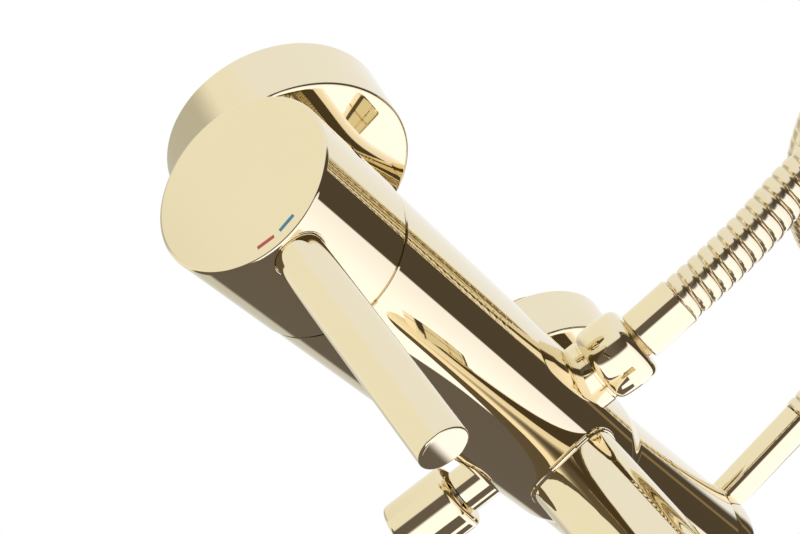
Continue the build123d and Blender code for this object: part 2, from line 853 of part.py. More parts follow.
spout_bore = spout_radius - spout_wall
spout_tail_bore = spout_tail_radius - spout_wall
with BuildPart() as spout_tube:
    with BuildSketch(spout_plane(0)):
        Circle(spout_radius)
    extrude(amount=spout_length)
    tip_edge = spout_tube.edges().sort_by(Axis(spout_origin, spout_direction))[-1]
    fillet(tip_edge, spout_edge)
    with BuildSketch(aerator_plane(0)):
        Circle(aerator_boss_radius)
    extrude(amount=aerator_boss_drop)
    with BuildSketch(across_body(body_left)):
        Circle(body_radius + seat_clearance)
    extrude(amount=body_length, mode=Mode.SUBTRACT)
    with BuildSketch(spout_plane(spout_tail_start)):
        Circle(spout_tail_radius)
    extrude(amount=body_radius + overrun - spout_tail_start)
    with BuildSketch(spout_plane(spout_tail_start)):
        Circle(spout_tail_bore)
    extrude(amount=spout_length - spout_tail_start - spout_edge, mode=Mode.SUBTRACT)
    with BuildSketch(spout_plane(body_radius + 2 * overrun)):
        Circle(spout_bore)
    straight_bore = spout_length - body_radius - 2 * overrun - spout_edge
    extrude(amount=straight_bore, mode=Mode.SUBTRACT)
    with BuildSketch(aerator_plane(0)):
        Circle(aerator_thread_radius)
    extrude(amount=aerator_boss_drop, mode=Mode.SUBTRACT)
    groove_reach = spout_tail_start + spout_seal_wire
    with BuildSketch(spout_plane(groove_reach)):
        Circle(spout_tail_radius + overrun)
        Circle(spout_tail_radius - spout_seal_wire, mode=Mode.SUBTRACT)
    extrude(amount=spout_seal_wire, mode=Mode.SUBTRACT)
save(spout_tube, "spout_tube")

with BuildPart() as spout_seal:
    with BuildSketch(spout_plane(groove_reach)):
        Circle(spout_tail_radius)
        Circle(spout_tail_radius - spout_seal_wire, mode=Mode.SUBTRACT)
    extrude(amount=spout_seal_wire)
save(spout_seal, "spout_seal")

with BuildPart() as aerator_housing:
    with BuildSketch(aerator_plane(aerator_boss_drop + seat_clearance)):
        Circle(aerator_boss_radius)
    extrude(amount=aerator_length)
    fillet(aerator_housing.edges().sort_by(Axis.Z)[0], aerator_edge)
    with BuildSketch(aerator_plane(aerator_boss_drop - aerator_thread_length)):
        Circle(aerator_thread_radius - thread_clearance)
    extrude(amount=aerator_thread_length + seat_clearance)
    with BuildSketch(aerator_plane(aerator_boss_drop - aerator_thread_length)):
        Circle(aerator_bore)
    full_depth = aerator_thread_length + aerator_length + seat_clearance
    extrude(amount=full_depth, mode=Mode.SUBTRACT)
save(aerator_housing, "aerator_housing")

insert_top = aerator_boss_drop + aerator_length - insert_length
with BuildPart() as aerator_insert:
    with BuildSketch(aerator_plane(insert_top)):
        Circle(aerator_bore - seat_clearance)
    extrude(amount=insert_length - insert_rim)
    hole_pitch = (aerator_bore - insert_rim - insert_hole) / insert_rings
    with BuildSketch(aerator_plane(insert_top)):
        Circle(insert_hole)
        for ring in range(1, insert_rings + 1):
            with PolarLocations(ring * hole_pitch, 6 * ring):
                Circle(insert_hole)
    extrude(amount=insert_length, mode=Mode.SUBTRACT)
save(aerator_insert, "aerator_insert")

# Diverter: bonnet on the body, spindle with valve and knob, return spring
with BuildPart() as diverter_bonnet:
    with BuildSketch(level(diverter_x, 0)):
        Circle(bonnet_radius)
    extrude(amount=bonnet_top)
    with BuildSketch(across_body(body_left)):
        Circle(body_radius + seat_clearance)
    extrude(amount=body_length, mode=Mode.SUBTRACT)
    with BuildSketch(level(diverter_x, bonnet_tail_end)):
        Circle(bonnet_tail_radius)
    extrude(amount=bonnet_top - bonnet_tail_end - overrun)
    with BuildSketch(level(diverter_x, 0)):
        Circle(spindle_radius + running_clearance)
    extrude(amount=bonnet_top, mode=Mode.SUBTRACT)
save(diverter_bonnet, "diverter_bonnet")

with BuildPart() as diverter_spindle:
    with BuildSketch(level(diverter_x, valve_bottom)):
        Circle(spindle_radius)
    extrude(amount=spindle_top - valve_bottom)
save(diverter_spindle, "diverter_spindle")

with BuildPart() as diverter_valve:
    with BuildSketch(level(diverter_x, valve_bottom)):
        Circle(valve_radius)
        Circle(spindle_radius, mode=Mode.SUBTRACT)
    extrude(amount=valve_thickness)
save(diverter_valve, "diverter_valve")

with BuildPart() as diverter_knob:
    with BuildSketch(level(diverter_x, knob_bottom)):
        Circle(knob_radius)
    extrude(amount=knob_top - knob_bottom)
    fillet(diverter_knob.edges().sort_by(Axis.Z)[-1], knob_edge)
    fillet(diverter_knob.edges().sort_by(Axis.Z)[0], knob_skirt_edge)
    with BuildSketch(level(diverter_x, knob_bottom)):
        Circle(spindle_radius)
    extrude(amount=spindle_top - knob_bottom, mode=Mode.SUBTRACT)
save(diverter_knob, "diverter_knob")

spring_low = valve_bottom + valve_thickness + spring_wire / 2 + seat_clearance
spring_high = bonnet_tail_end - spring_wire / 2 - seat_clearance
spring_step = (spring_high - spring_low) / spring_half_turns
spring_reach = hypot(spring_radius, spring_step / 2)


def spring_end(count):
    """The point of the spring's wire after a count of half turns."""
    side = 1 if count % 2 == 0 else -1
    height = axis_z + spring_low + count * spring_step
    return Vector(diverter_x + side * spring_radius, axis_y, height)


with BuildPart() as diverter_spring:
    with BuildLine() as spring_path:
        for count in range(spring_half_turns):
            start = spring_end(count)
            end = spring_end(count + 1)
            side = 1 if count % 2 == 0 else -1
            middle = (start + end) / 2 + Vector(0, side * spring_reach, 0)
            ThreePointArc(start, middle, end)
    with BuildSketch(Plane(origin=spring_end(0), x_dir=(1, 0, 0), z_dir=(0, 1, 0))):
        Circle(spring_wire / 2)
    sweep(path=spring_path.wire())
save(diverter_spring, "diverter_spring")

# Hose outlet under the body: nipple, check valve, washer, nut and ferrule
with BuildPart() as outlet_nipple:
    with BuildSketch(level(outlet_x, 0)):
        Circle(outlet_neck_radius)
    extrude(amount=-outlet_shoulder)
    with BuildSketch(across_body(body_left)):
        Circle(body_radius + seat_clearance)
    extrude(amount=body_length, mode=Mode.SUBTRACT)
    with BuildSketch(level(outlet_x, -outlet_tail_top)):
        Circle(outlet_tail_radius)
    extrude(amount=-(outlet_thread_end - outlet_tail_top))
    with BuildSketch(level(outlet_x, -outlet_shoulder + overrun / 2)):
        Circle(outlet_thread_radius)
    extrude(amount=-(outlet_thread_end - outlet_shoulder) - overrun / 2)
    with BuildSketch(level(outlet_x, -outlet_tail_top)):
        Circle(outlet_bore)
    extrude(amount=-(outlet_thread_end - outlet_tail_top), mode=Mode.SUBTRACT)
save(outlet_nipple, "outlet_nipple")

with BuildPart() as check_valve:
    with BuildSketch(level(outlet_x, -outlet_thread_end + check_valve_length)):
        Circle(outlet_bore - seat_clearance)
        Circle(check_valve_bore, mode=Mode.SUBTRACT)
    extrude(amount=-check_valve_length)
    with BuildSketch(level(outlet_x, -outlet_thread_end + check_valve_length)):
        Rectangle(2 * check_valve_bore + spring_wire, spring_wire)
        Rectangle(spring_wire, 2 * check_valve_bore + spring_wire)
    extrude(amount=-spring_wire)
save(check_valve, "check_valve")

washer_top = outlet_thread_end + seat_clearance
flange_top = washer_top + hose_washer_thickness
with BuildPart() as hose_washer:
    with BuildSketch(level(outlet_x, -washer_top)):
        Circle(ferrule_flange_radius)
        Circle(ferrule_bore, mode=Mode.SUBTRACT)
    extrude(amount=-hose_washer_thickness)
save(hose_washer, "hose_washer")

with BuildPart() as hose_nut:
    with BuildSketch(level(outlet_x, -hose_nut_top)):
        Circle(hose_nut_radius)
    extrude(amount=-(hose_nut_bottom - hose_nut_top))
    fillet(hose_nut.edges().filter_by(GeomType.CIRCLE), hose_nut_edge)
    with BuildSketch(level(outlet_x, -hose_nut_top)):
        Circle(outlet_thread_radius + thread_clearance)
    thread_depth = hose_nut_bottom - hose_nut_lip - hose_nut_top
    extrude(amount=-thread_depth, mode=Mode.SUBTRACT)
    with BuildSketch(level(outlet_x, -hose_nut_top)):
        Circle(ferrule_neck_radius + seat_clearance)
    extrude(amount=-(hose_nut_bottom - hose_nut_top), mode=Mode.SUBTRACT)
save(hose_nut, "hose_nut")

with BuildPart() as hose_tail:
    with BuildSketch(level(outlet_x, -flange_top)):
        Circle(ferrule_neck_radius)
    extrude(amount=-(hose_nut_bottom + ferrule_neck_depth - flange_top))
    with BuildSketch(level(outlet_x, -flange_top)):
        Circle(ferrule_flange_radius)
    extrude(amount=-ferrule_flange_thickness)
    with BuildSketch(level(outlet_x, -flange_top)):
        Circle(ferrule_bore)
    extrude(amount=-(hose_nut_bottom + ferrule_neck_depth - flange_top), mode=Mode.SUBTRACT)
save(hose_tail, "hose_tail")

# The ferrule leans with the hose towards the wall
ferrule_down = Vector(0, sin(radians(ferrule_tilt)), -cos(radians(ferrule_tilt)))
ferrule_head = Vector(outlet_x, axis_y, axis_z - hose_nut_bottom)
ferrule_length = ferrule_end - hose_nut_bottom


def ferrule_plane(reach):
    """A plane square to the leaning ferrule, at a distance below the nut."""
    return Plane(
        origin=ferrule_head + ferrule_down * reach, x_dir=(1, 0, 0), z_dir=ferrule_down
    )


with BuildPart() as hose_ferrule:
    with BuildSketch(ferrule_plane(ferrule_start)):
        Circle(ferrule_radius)
    extrude(amount=ferrule_length - ferrule_start)
    fillet(hose_ferrule.edges().filter_by(GeomType.CIRCLE), ferrule_edge)
    with BuildSketch(level(outlet_x, -hose_nut_bottom + overrun)):
        Circle(ferrule_neck_radius + seat_clearance)
    extrude(amount=-(ferrule_neck_depth + overrun + seat_clearance), mode=Mode.SUBTRACT)
    with BuildSketch(ferrule_plane(ferrule_start)):
        Circle(ferrule_bore)
    extrude(amount=ferrule_length - ferrule_start, mode=Mode.SUBTRACT)
save(hose_ferrule, "hose_ferrule")

# Hose routes, from the ferrule to the coil and from the coil to the hose end
sleeve_foot = Vector(cradle_x, cradle_y, axis_z) - cradle_up * sleeve_end
coil_end_y = coil_start_y + coil_half_turns * coil_pitch / 2
coil_top_z = coil_z + hose_diameter
run_start = ferrule_head + ferrule_down * ferrule_length
run_points = [
    run_start,
    run_start + ferrule_down * first_run,
    Vector(outlet_x, coil_start_y + run_bend_inset, axis_z - run_bend_drop),
    Vector(outlet_x, coil_start_y, coil_top_z + first_run),
    Vector(outlet_x, coil_start_y, coil_top_z),
]
return_points = [
    Vector(cradle_x, coil_end_y, coil_top_z),
    Vector(cradle_x, coil_end_y, coil_top_z + first_run),
    Vector(cradle_x, cradle_y + return_bend_reach, axis_z - return_bend_drop),
    sleeve_foot - cradle_up * first_run,
    sleeve_foot,
]


def bend_radii(points):
    """The radius of the arc at each inner point of a route."""
    radii = []
    for before, point, after in zip(points, points[1:], points[2:]):
        turn = radians((point - before).get_angle(after - point))
        shorter = min((point - before).length, (after - point).length)
        radii.append(0.45 * shorter / tan(turn / 2))
    return radii


def straight_up(point):
    return Plane(origin=point, x_dir=(1, 0, 0), z_dir=(0, 0, 1))


def rib_planes(route, pitch):
    """Planes along a route on a steady X axis, four to a rib, with radii."""
    length = route.length
    count = round((length - hose_diameter) / pitch)
    first = (length - count * pitch) / 2
    crest = hose_radius
    root = hose_radius - rib_depth
    found = [(0, root), (first, root)]
    for rib in range(count):
        start = first + rib * pitch
        flank = rib_flank_share * pitch
        land = (1 - rib_crest_share - 2 * rib_flank_share) * pitch / 2
        found.append((start + land, root))
        found.append((start + land + flank, crest))
        found.append((start + pitch - land - flank, crest))
        found.append((start + pitch - land, root))
    found.append((length, root))
    planes = []
    for along, radius in found:
        place = route.position_at(along / length)
        tangent = route.tangent_at(along / length)
        planes.append((Plane(origin=place, x_dir=(1, 0, 0), z_dir=tangent), radius))
    return planes, count


for name, points in (("hose_run", run_points), ("hose_return", return_points)):
    radii = bend_radii(points)
    print(name, "bend radii", [round(radius, 1) for radius in radii])
    with BuildLine() as route:
        FilletPolyline(*points, radius=radii)
    centre_line = route.wire()
    planes, count = rib_planes(centre_line, rib_pitch)
    with BuildPart() as hose:
        for plane, radius in planes:
            with BuildSketch(plane):
                Circle(radius)
        loft(ruled=True)
        with BuildSketch(planes[0][0]):
            Circle(hose_bore)
        sweep(path=centre_line, mode=Mode.SUBTRACT)
    save(hose, name)
    ring = pi * ((hose_radius - rib_depth / 2) ** 2 - hose_bore**2)
    print(name, "ribs", count, "length", round(centre_line.length, 1))
    print(name, "volume share", round(hose.part.volume / ring / centre_line.length, 3))
    if name == "hose_run":
        run_length = centre_line.length
    else:
        return_length = centre_line.length

# The coil: half turns that alternate between the two sides, each a half circle


def coil_side(count):
    """The point of the coil's centre line after a count of half turns."""
    side = 1 if count % 2 == 0 else -1
    across = coil_start_y + count * coil_pitch / 2
    return Vector(coil_centre_x + side * coil_radius, across, coil_z)


coil_reach = hypot(coil_radius, coil_pitch / 4)
with BuildPart() as hose_coil:
    with BuildLine() as coil_path:
        Line(coil_side(0) + Vector(0, 0, hose_diameter), coil_side(0))
        for count in range(coil_half_turns):
            start = coil_side(count)
            end = coil_side(count + 1)
            side = -1 if count % 2 == 0 else 1
            middle = (start + end) / 2 + Vector(0, 0, side * coil_reach)
            ThreePointArc(start, middle, end)
        Line(
            coil_side(coil_half_turns),
            coil_side(coil_half_turns) + Vector(0, 0, hose_diameter),
        )
    with BuildSketch(
        Plane(
            origin=coil_side(0) + Vector(0, 0, hose_diameter),
            x_dir=(1, 0, 0),
            z_dir=(0, 0, -1),
        )
    ):
        Circle(hose_radius)
    coil_line = coil_path.wire()
    sweep(path=coil_line)
save(hose_coil, "hose_coil")
coil_length = coil_line.length
coil_share = hose_coil.part.volume / (pi * hose_radius**2 * coil_length)
print("hose_coil length", round(coil_length, 1), "volume share", round(coil_share, 4))

# Least distance of the coil to itself, measured on points along its centre line
sample_step = hose_diameter / 4
sample_count = int(coil_length / sample_step)
samples = [coil_line.position_at(k / sample_count) for k in range(sample_count + 1)]
nearby = int(3 * hose_diameter / sample_step)
least = min(
    (samples[i] - samples[j]).length
    for i in range(0, len(samples), 2)
    for j in range(i + nearby, len(samples), 2)
)
print("hose_coil least gap to itself", round(least - hose_diameter, 2))
total_length = run_length + coil_length + return_length
print("hose tube length", round(total_length, 1))

# Tie round the three passes at the bottom of the coil
first_pass = coil_start_y + coil_pitch / 4
last_pass = coil_end_y - coil_pitch / 4
bundle = last_pass - first_pass + hose_diameter + 2 * tie_clearance
depth = hose_diameter + 2 * tie_clearance
tie_plane = Plane(
    origin=(
        coil_centre_x - tie_width / 2,
        (first_pass + last_pass) / 2,
        coil_z - coil_radius,
    ),
    x_dir=(0, 1, 0),
    z_dir=(1, 0, 0),
)
with BuildPart() as coil_tie:
    with BuildSketch(tie_plane):
        RectangleRounded(
            bundle + 2 * tie_thickness,
            depth + 2 * tie_thickness,
            depth / 3 + tie_thickness,
        )
        RectangleRounded(bundle, depth, depth / 3, mode=Mode.SUBTRACT)
    extrude(amount=tie_width)
save(coil_tie, "coil_tie")

# Hose end: sleeve, washer and the conical nut for a handset, held in the cradle
cone_axis = Axis(cradle_plane(0).origin, cradle_up)
thread_floor = cone_top - cone_thread_depth
cone_floor = thread_floor - cone_recess_depth
with BuildPart() as hose_end_sleeve:
    with BuildSketch(cradle_plane(-sleeve_end)):
        Circle(sleeve_radius)
    extrude(amount=sleeve_end - cone_bottom - seat_clearance)
    fillet(hose_end_sleeve.edges().filter_by(GeomType.CIRCLE), ferrule_edge)
    with BuildSketch(cradle_plane(-sleeve_end)):
        Circle(ferrule_bore)
    extrude(amount=sleeve_end - cone_bottom - seat_clearance, mode=Mode.SUBTRACT)
save(hose_end_sleeve, "hose_end_sleeve")

with BuildPart() as handset_nut:
    with BuildSketch(cradle_plane(-cone_bottom)):
        Circle(sleeve_radius)
    with BuildSketch(cradle_plane(cone_top)):
        Circle(cone_radius)
    loft()
    with BuildSketch(cradle_plane(cone_top)):
        Circle(cone_thread_radius)
    extrude(amount=-cone_thread_depth, mode=Mode.SUBTRACT)
    with BuildSketch(cradle_plane(thread_floor)):
        Circle(cone_recess_radius)
    extrude(amount=-cone_recess_depth, mode=Mode.SUBTRACT)
    with BuildSketch(cradle_plane(-cone_bottom)):
        Circle(ferrule_bore)
    extrude(amount=cone_bottom + cone_top, mode=Mode.SUBTRACT)
save(handset_nut, "handset_nut")

with BuildPart() as handset_washer:
    with BuildSketch(cradle_plane(cone_floor)):
        Circle(cone_recess_radius - seat_clearance)
        Circle(ferrule_bore, mode=Mode.SUBTRACT)
    extrude(amount=cone_washer_thickness)
save(handset_washer, "handset_washer")
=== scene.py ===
import json
from bisect import bisect_right
from math import cos, pi, radians, sin, sqrt, tan

import bpy
from mathutils import Matrix, Vector


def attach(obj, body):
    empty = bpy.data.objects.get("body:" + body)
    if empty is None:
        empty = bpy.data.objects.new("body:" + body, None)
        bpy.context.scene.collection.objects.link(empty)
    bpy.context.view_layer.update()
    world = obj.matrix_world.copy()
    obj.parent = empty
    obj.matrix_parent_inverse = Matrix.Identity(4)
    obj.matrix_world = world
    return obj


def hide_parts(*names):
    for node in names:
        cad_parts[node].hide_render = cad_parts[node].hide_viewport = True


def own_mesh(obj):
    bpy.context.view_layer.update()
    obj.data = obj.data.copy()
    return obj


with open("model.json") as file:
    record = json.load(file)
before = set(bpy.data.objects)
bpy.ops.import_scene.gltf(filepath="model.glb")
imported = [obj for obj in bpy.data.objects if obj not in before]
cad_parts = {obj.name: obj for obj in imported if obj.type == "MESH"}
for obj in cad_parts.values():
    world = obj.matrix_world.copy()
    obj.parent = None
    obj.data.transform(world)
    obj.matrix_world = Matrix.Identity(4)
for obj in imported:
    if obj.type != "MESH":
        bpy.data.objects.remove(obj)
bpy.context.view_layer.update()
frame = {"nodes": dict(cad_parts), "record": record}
node_slots = {
    part["node"]: part["material_slot"] for part in frame["record"]["subparts"]
}

# Sizes in millimetres, as in the model: the helpers turn them into metres
mm = 0.001
X = Vector((1, 0, 0))
Y = Vector((0, 1, 0))
Z = Vector((0, 0, 1))
body_centre = Vector((0, -57.7, 6))
inlet_x = 75.0
body_left = -139.0
body_right = 88.7
body_radius = 22.4
body_bore = 19.4
bulkhead = (48.0, 51.0)
waist_right = -47.0
waist_left = -58.0
waist_radius = 21.0
far_end_radius = 23.9
pad_radius = 13.4
pad_end = 33.8
rosette_radius = 30.8
rosette_depth = 18.5
rosette_dome = 7.0
rosette_edge = 1.2
rosette_wall = 1.5
rosette_seat = 16.3
rosette_hole = 13.5
nut_back = 20.4
nut_front = 32.6
nut_across = 30.0
nut_round = 16.16
thread_radius = 10.48
thread_root = 9.5
thread_pitch = 1.814
thread_length = 15.0
union_bore = 7.5
cap_left = -154.8
cap_radius = 25.5
cap_edge = 3.4
cap_wall = 3.0
handle_rim = 89.9
handle_face = 124.3
handle_radius = 22.7
handle_floor = 111.5
handle_wall = 2.0
handle_edge = 0.8
hub_radius = 7.6
hub_start = 103.5
relief_start = 1.15
relief_angle = 21.0
dome_radius = 20.1
dome_inside = 18.6
dome_opening = 53.0
seam_ring_radius = 21.6
seam_ring_right = 89.2
lever_turn = radians(5.4)
lever_lean = radians(4.8)
lever_x = 119.2
lever_radius = 5.8
lever_length = 83.5
lever_seat_radius = 6.05
lever_seat_depth = 1.8
grub_x = 107.05
grub_hole = 2.1
mark_angle = radians(9.1)
mark_circle = 19.5
mark_length = 4.6
mark_width = 1.0
mark_depth = 0.4
spout_foot = Vector((-29.5, -57.7, 6))
spout_slope = radians(8)
spout_radius = 14.5
spout_length = 111.0
spout_edge = 3.5
aerator_back = 17.0
boss_radius = 13.4
boss_drop = 19.0
collar_drop = 19.1
collar_length = 6.5
collar_bore = 9.4
diverter_place = Vector((-30.7, -57.7, 6))
bonnet_radius = 7.1
bonnet_top = 30.9
spindle_radius = 3.05
spring_wire = 0.45
spring_radius = 4.6
spring_low = -10.85
spring_high = 15.85
spring_half_turns = 9
spring_steps = 14
knob_radius = 10.8
knob_bottom = 31.6
knob_top = 53.6
outlet_place = Vector((-22.3, -57.7, 6))
neck_radius = 10.4
neck_end = 24.8
hose_nut_radius = 11.9
hose_nut_top = 25.0
hose_nut_bottom = 40.0
ferrule_tilt = radians(4.5)
ferrule_radius = 7.7
ferrule_length = 17.0
ferrule_bore = 4.5
ferrule_start = 0.8
hose_width = 14.6
rib_pitch = 4.0
rib_depth = 0.7
rib_groove = 0.42
first_run = 25.5
rest_tilt = radians(10.9)
rest_centre = Vector((-174, -42.1, 6))
rest_radius = 14.4
rest_top = 6.5
rest_bottom = 9.0
rest_edge = 1.2
rest_stub = 6.5
sleeve_radius = 6.75
sleeve_end = 62.0
cone_bottom = 20.0
cone_top = 8.0
cone_radius = 11.5
cone_thread = 9.4
cone_floor = 1.3
cone_gap = 0.1
coil_centre = Vector((-98.15, 0, -174))
coil_radius = 75.85
coil_start_y = -47.6
coil_entry_z = -133.9
coil_pitch = 15.2
coil_half_turns = 5
points_each_turn = 16
strap_width = 10.0
strap_long = 49.0
strap_deep = 18.6
strap_corner = 6.7
strap_thickness = 1.5
floor_z = -262.0

# How far a cutter or a hidden foot runs on, where two pieces meet at one face
overrun = 1
# The small distances that a turned mesh is built with
support_gap = 0.12
weld_gap = 0.01
no_difference = 1e-6
# The sharpest turn, in degrees, that still shades as smooth
smooth_angle = 28

lever_out = Vector((0, -cos(lever_turn), -sin(lever_turn)))
lift_axis = Vector((0, -sin(lever_turn), cos(lever_turn)))
lever_axis = (lever_out * cos(lever_lean) - X * sin(lever_lean)).normalized()
lever_foot = Vector((lever_x, 0, 0)) + body_centre
spout_out = Vector((0, -cos(spout_slope), -sin(spout_slope)))
ferrule_down = Vector((0, sin(ferrule_tilt), -cos(ferrule_tilt)))
ferrule_head = outlet_place - Z * hose_nut_bottom
rest_up = Vector((0, -sin(rest_tilt), cos(rest_tilt)))

materials = {}


# Small helpers of the workshop
def nothing_selected():
    if bpy.context.object and bpy.context.object.mode != "OBJECT":
        bpy.ops.object.mode_set(mode="OBJECT")
    bpy.ops.object.select_all(action="DESELECT")


def pick(piece):
    nothing_selected()
    piece.select_set(True)
    bpy.context.view_layer.objects.active = piece


def settle(piece):
    """Leaves the piece's object at the origin, with its place in its mesh."""
    pick(piece)
    bpy.ops.object.transform_apply(location=True, rotation=True, scale=True)


def closed_up():
    """Fills the open ends of the mesh being edited and turns its faces outwards."""
    bpy.ops.mesh.select_all(action="SELECT")
    bpy.ops.mesh.fill_holes(sides=0)
    bpy.ops.mesh.select_all(action="SELECT")
    bpy.ops.mesh.normals_make_consistent(inside=False)
    bpy.ops.object.mode_set(mode="OBJECT")


def turned(name, foot, axis, profile, steps=96):
    """A turned piece: rings of (radius, distance along the axis), drawn out one by one.
    It closes at a radius of nothing, on itself if it ends where it began, or else flat.
    Flat faces get a ring near each edge, so that they reflect as flat."""
    nothing_selected()
    axis = Vector(axis).normalized()
    rings = [profile[0]]
    for (wide, place), (narrow, reach) in zip(profile, profile[1:]):
        level = abs(reach - place) < no_difference
        if level and abs(wide - narrow) > 4 * support_gap:
            inward = support_gap if narrow < wide else -support_gap
            if wide > 0:
                rings.append((wide - inward, reach))
            if narrow > 0:
                rings.append((narrow + inward, reach))
        rings.append((narrow, reach))
    rings = [ring for ring in rings if ring[0] > 0]
    size, along = rings[0]
    bpy.ops.mesh.primitive_circle_add(
        vertices=steps,
        radius=size * mm,
        location=(foot + axis * along) * mm,
        rotation=axis.to_track_quat("Z", "Y").to_euler(),
    )
    piece = bpy.context.object
    piece.name = name
    settle(piece)
    bpy.ops.object.mode_set(mode="EDIT")
    bpy.ops.mesh.select_mode(type="EDGE")
    bpy.ops.mesh.select_all(action="SELECT")
    for radius, reach in rings[1:]:
        centre = (foot + axis * reach) * mm
        bpy.ops.mesh.extrude_edges_move(
            TRANSFORM_OT_translate={"value": axis * (reach - along) * mm}
        )
        if abs(radius - size) > no_difference:
            factor = radius / size
            bpy.ops.transform.resize(
                value=(factor, factor, factor), center_override=centre
            )
        size = radius
        along = reach
    bpy.ops.mesh.select_all(action="SELECT")
    bpy.ops.mesh.remove_doubles(threshold=weld_gap * mm)
    closed_up()
    return piece


def round_bar(name, foot, axis, radius, near, far, steps=96):
    """A plain round bar, used for cutting."""
    profile = [(0, near), (radius, near), (radius, far), (0, far)]
    return turned(name, foot, axis, profile, steps)


def arc(centre_radius, centre_reach, radius, start, end, steps=6):
    """Profile points on an arc: 0 degrees points outwards, 90 along the axis."""
    points = []
    for step in range(steps + 1):
        turn = radians(start + (end - start) * step / steps)
        points.append(
            (centre_radius + radius * cos(turn), centre_reach + radius * sin(turn))
        )
    return points


def block(name, centre, size, rotation=(0, 0, 0)):
    """A plain block, used for cutting and as the start of flat pieces."""
    nothing_selected()
    bpy.ops.mesh.primitive_cube_add(
        size=1, location=Vector(centre) * mm, rotation=rotation
    )
    piece = bpy.context.object
    piece.name = name
    piece.scale = Vector(size) * mm
    settle(piece)
    return piece


def hexagon(name, centre, across, near, far):
    """A hexagonal bar that points away from the wall, flats to the left and right."""
    nothing_selected()
    bpy.ops.mesh.primitive_cylinder_add(
        vertices=6,
        radius=across / 2 / cos(pi / 6) * mm,
        depth=(far - near) * mm,
        location=(Vector(centre) - Y * (near + far) / 2) * mm,
        rotation=(pi / 2, 0, 0),
    )
    piece = bpy.context.object
    piece.name = name
    settle(piece)
    return piece


def add_and_apply(piece, kind, **settings):
    pick(piece)
    modifier = piece.modifiers.new("shaping", kind)
    for key, value in settings.items():
        setattr(modifier, key, value)
    bpy.ops.object.modifier_apply(modifier=modifier.name)


def eased(piece, width, segments=3, angle=25):
    """Rounds off the sharp edges by a little, as polishing does."""
    add_and_apply(
        piece,
        "BEVEL",
        width=width * mm,
        segments=segments,
        limit_method="ANGLE",
        angle_limit=radians(angle),
        miter_outer="MITER_ARC",
    )


def worked(piece, tool, operation):
    """Cuts the tool out of the piece, fuses them, or keeps what they share. The tool
    is used up."""
    add_and_apply(piece, "BOOLEAN", object=tool, operation=operation, solver="EXACT")
    bpy.data.objects.remove(tool)


def joined(piece, *others):
    pick(piece)
    for other in others:
        other.select_set(True)
    bpy.ops.object.join()


def smooth_line(name, points, resolution, ring=False):
    """A smooth NURBS line with these control points, closed if it is a ring."""
    curve = bpy.data.curves.new(name, "CURVE")
    curve.dimensions = "3D"
    curve.resolution_u = resolution
    spline = curve.splines.new("NURBS")
    spline.points.add(len(points) - 1)
    for point, place in zip(spline.points, points):
        point.co = (*place, 1)
    spline.order_u = 3
    spline.use_cyclic_u = ring
    spline.use_endpoint_u = not ring
    line = bpy.data.objects.new(name, curve)
    bpy.context.collection.objects.link(line)
    return line


def ring_on_saddle(name, foot, out, across, ring_radius, saddle_radius, thickness):
    """A thin round bead where a round tube stands on a round bar: across is the
    bar's direction, out the tube's."""
    steps = 32
    aside = out.cross(across).normalized()
    along = aside.cross(out).normalized()
    points = []
    for step in range(steps):
        turn = 2 * pi * step / steps
        sideways = ring_radius * sin(turn)
        reach = sqrt(saddle_radius**2 - sideways**2)
        place = foot + out * reach + aside * sideways + along * ring_radius * cos(turn)
        points.append(place * mm)
    piece = smooth_line(name, points, 4, ring=True)
    piece.data.bevel_depth = thickness * mm
    piece.data.bevel_resolution = 4
    pick(piece)
    bpy.ops.object.convert(target="MESH")
    return piece


def finished(piece, material="polished gold", body="mixer", node=None):
    """Smooth shading with flat faces kept flat, the material and the body.
    The CAD node that the piece stands for, if there is one, is hidden."""
    settle(piece)
    bpy.ops.object.shade_smooth_by_angle(angle=radians(smooth_angle))
    add_and_apply(piece, "WEIGHTED_NORMAL", mode="FACE_AREA", keep_sharp=True)
    piece.data.materials.clear()
    piece.data.materials.append(materials[material])
    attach(piece, body)
    if node:
        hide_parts(node)


# Finishes
def tree_of(name):
    material = bpy.data.materials.new(name)
    material.use_nodes = True
    return material, material.node_tree, material.node_tree.nodes["Principled BSDF"]


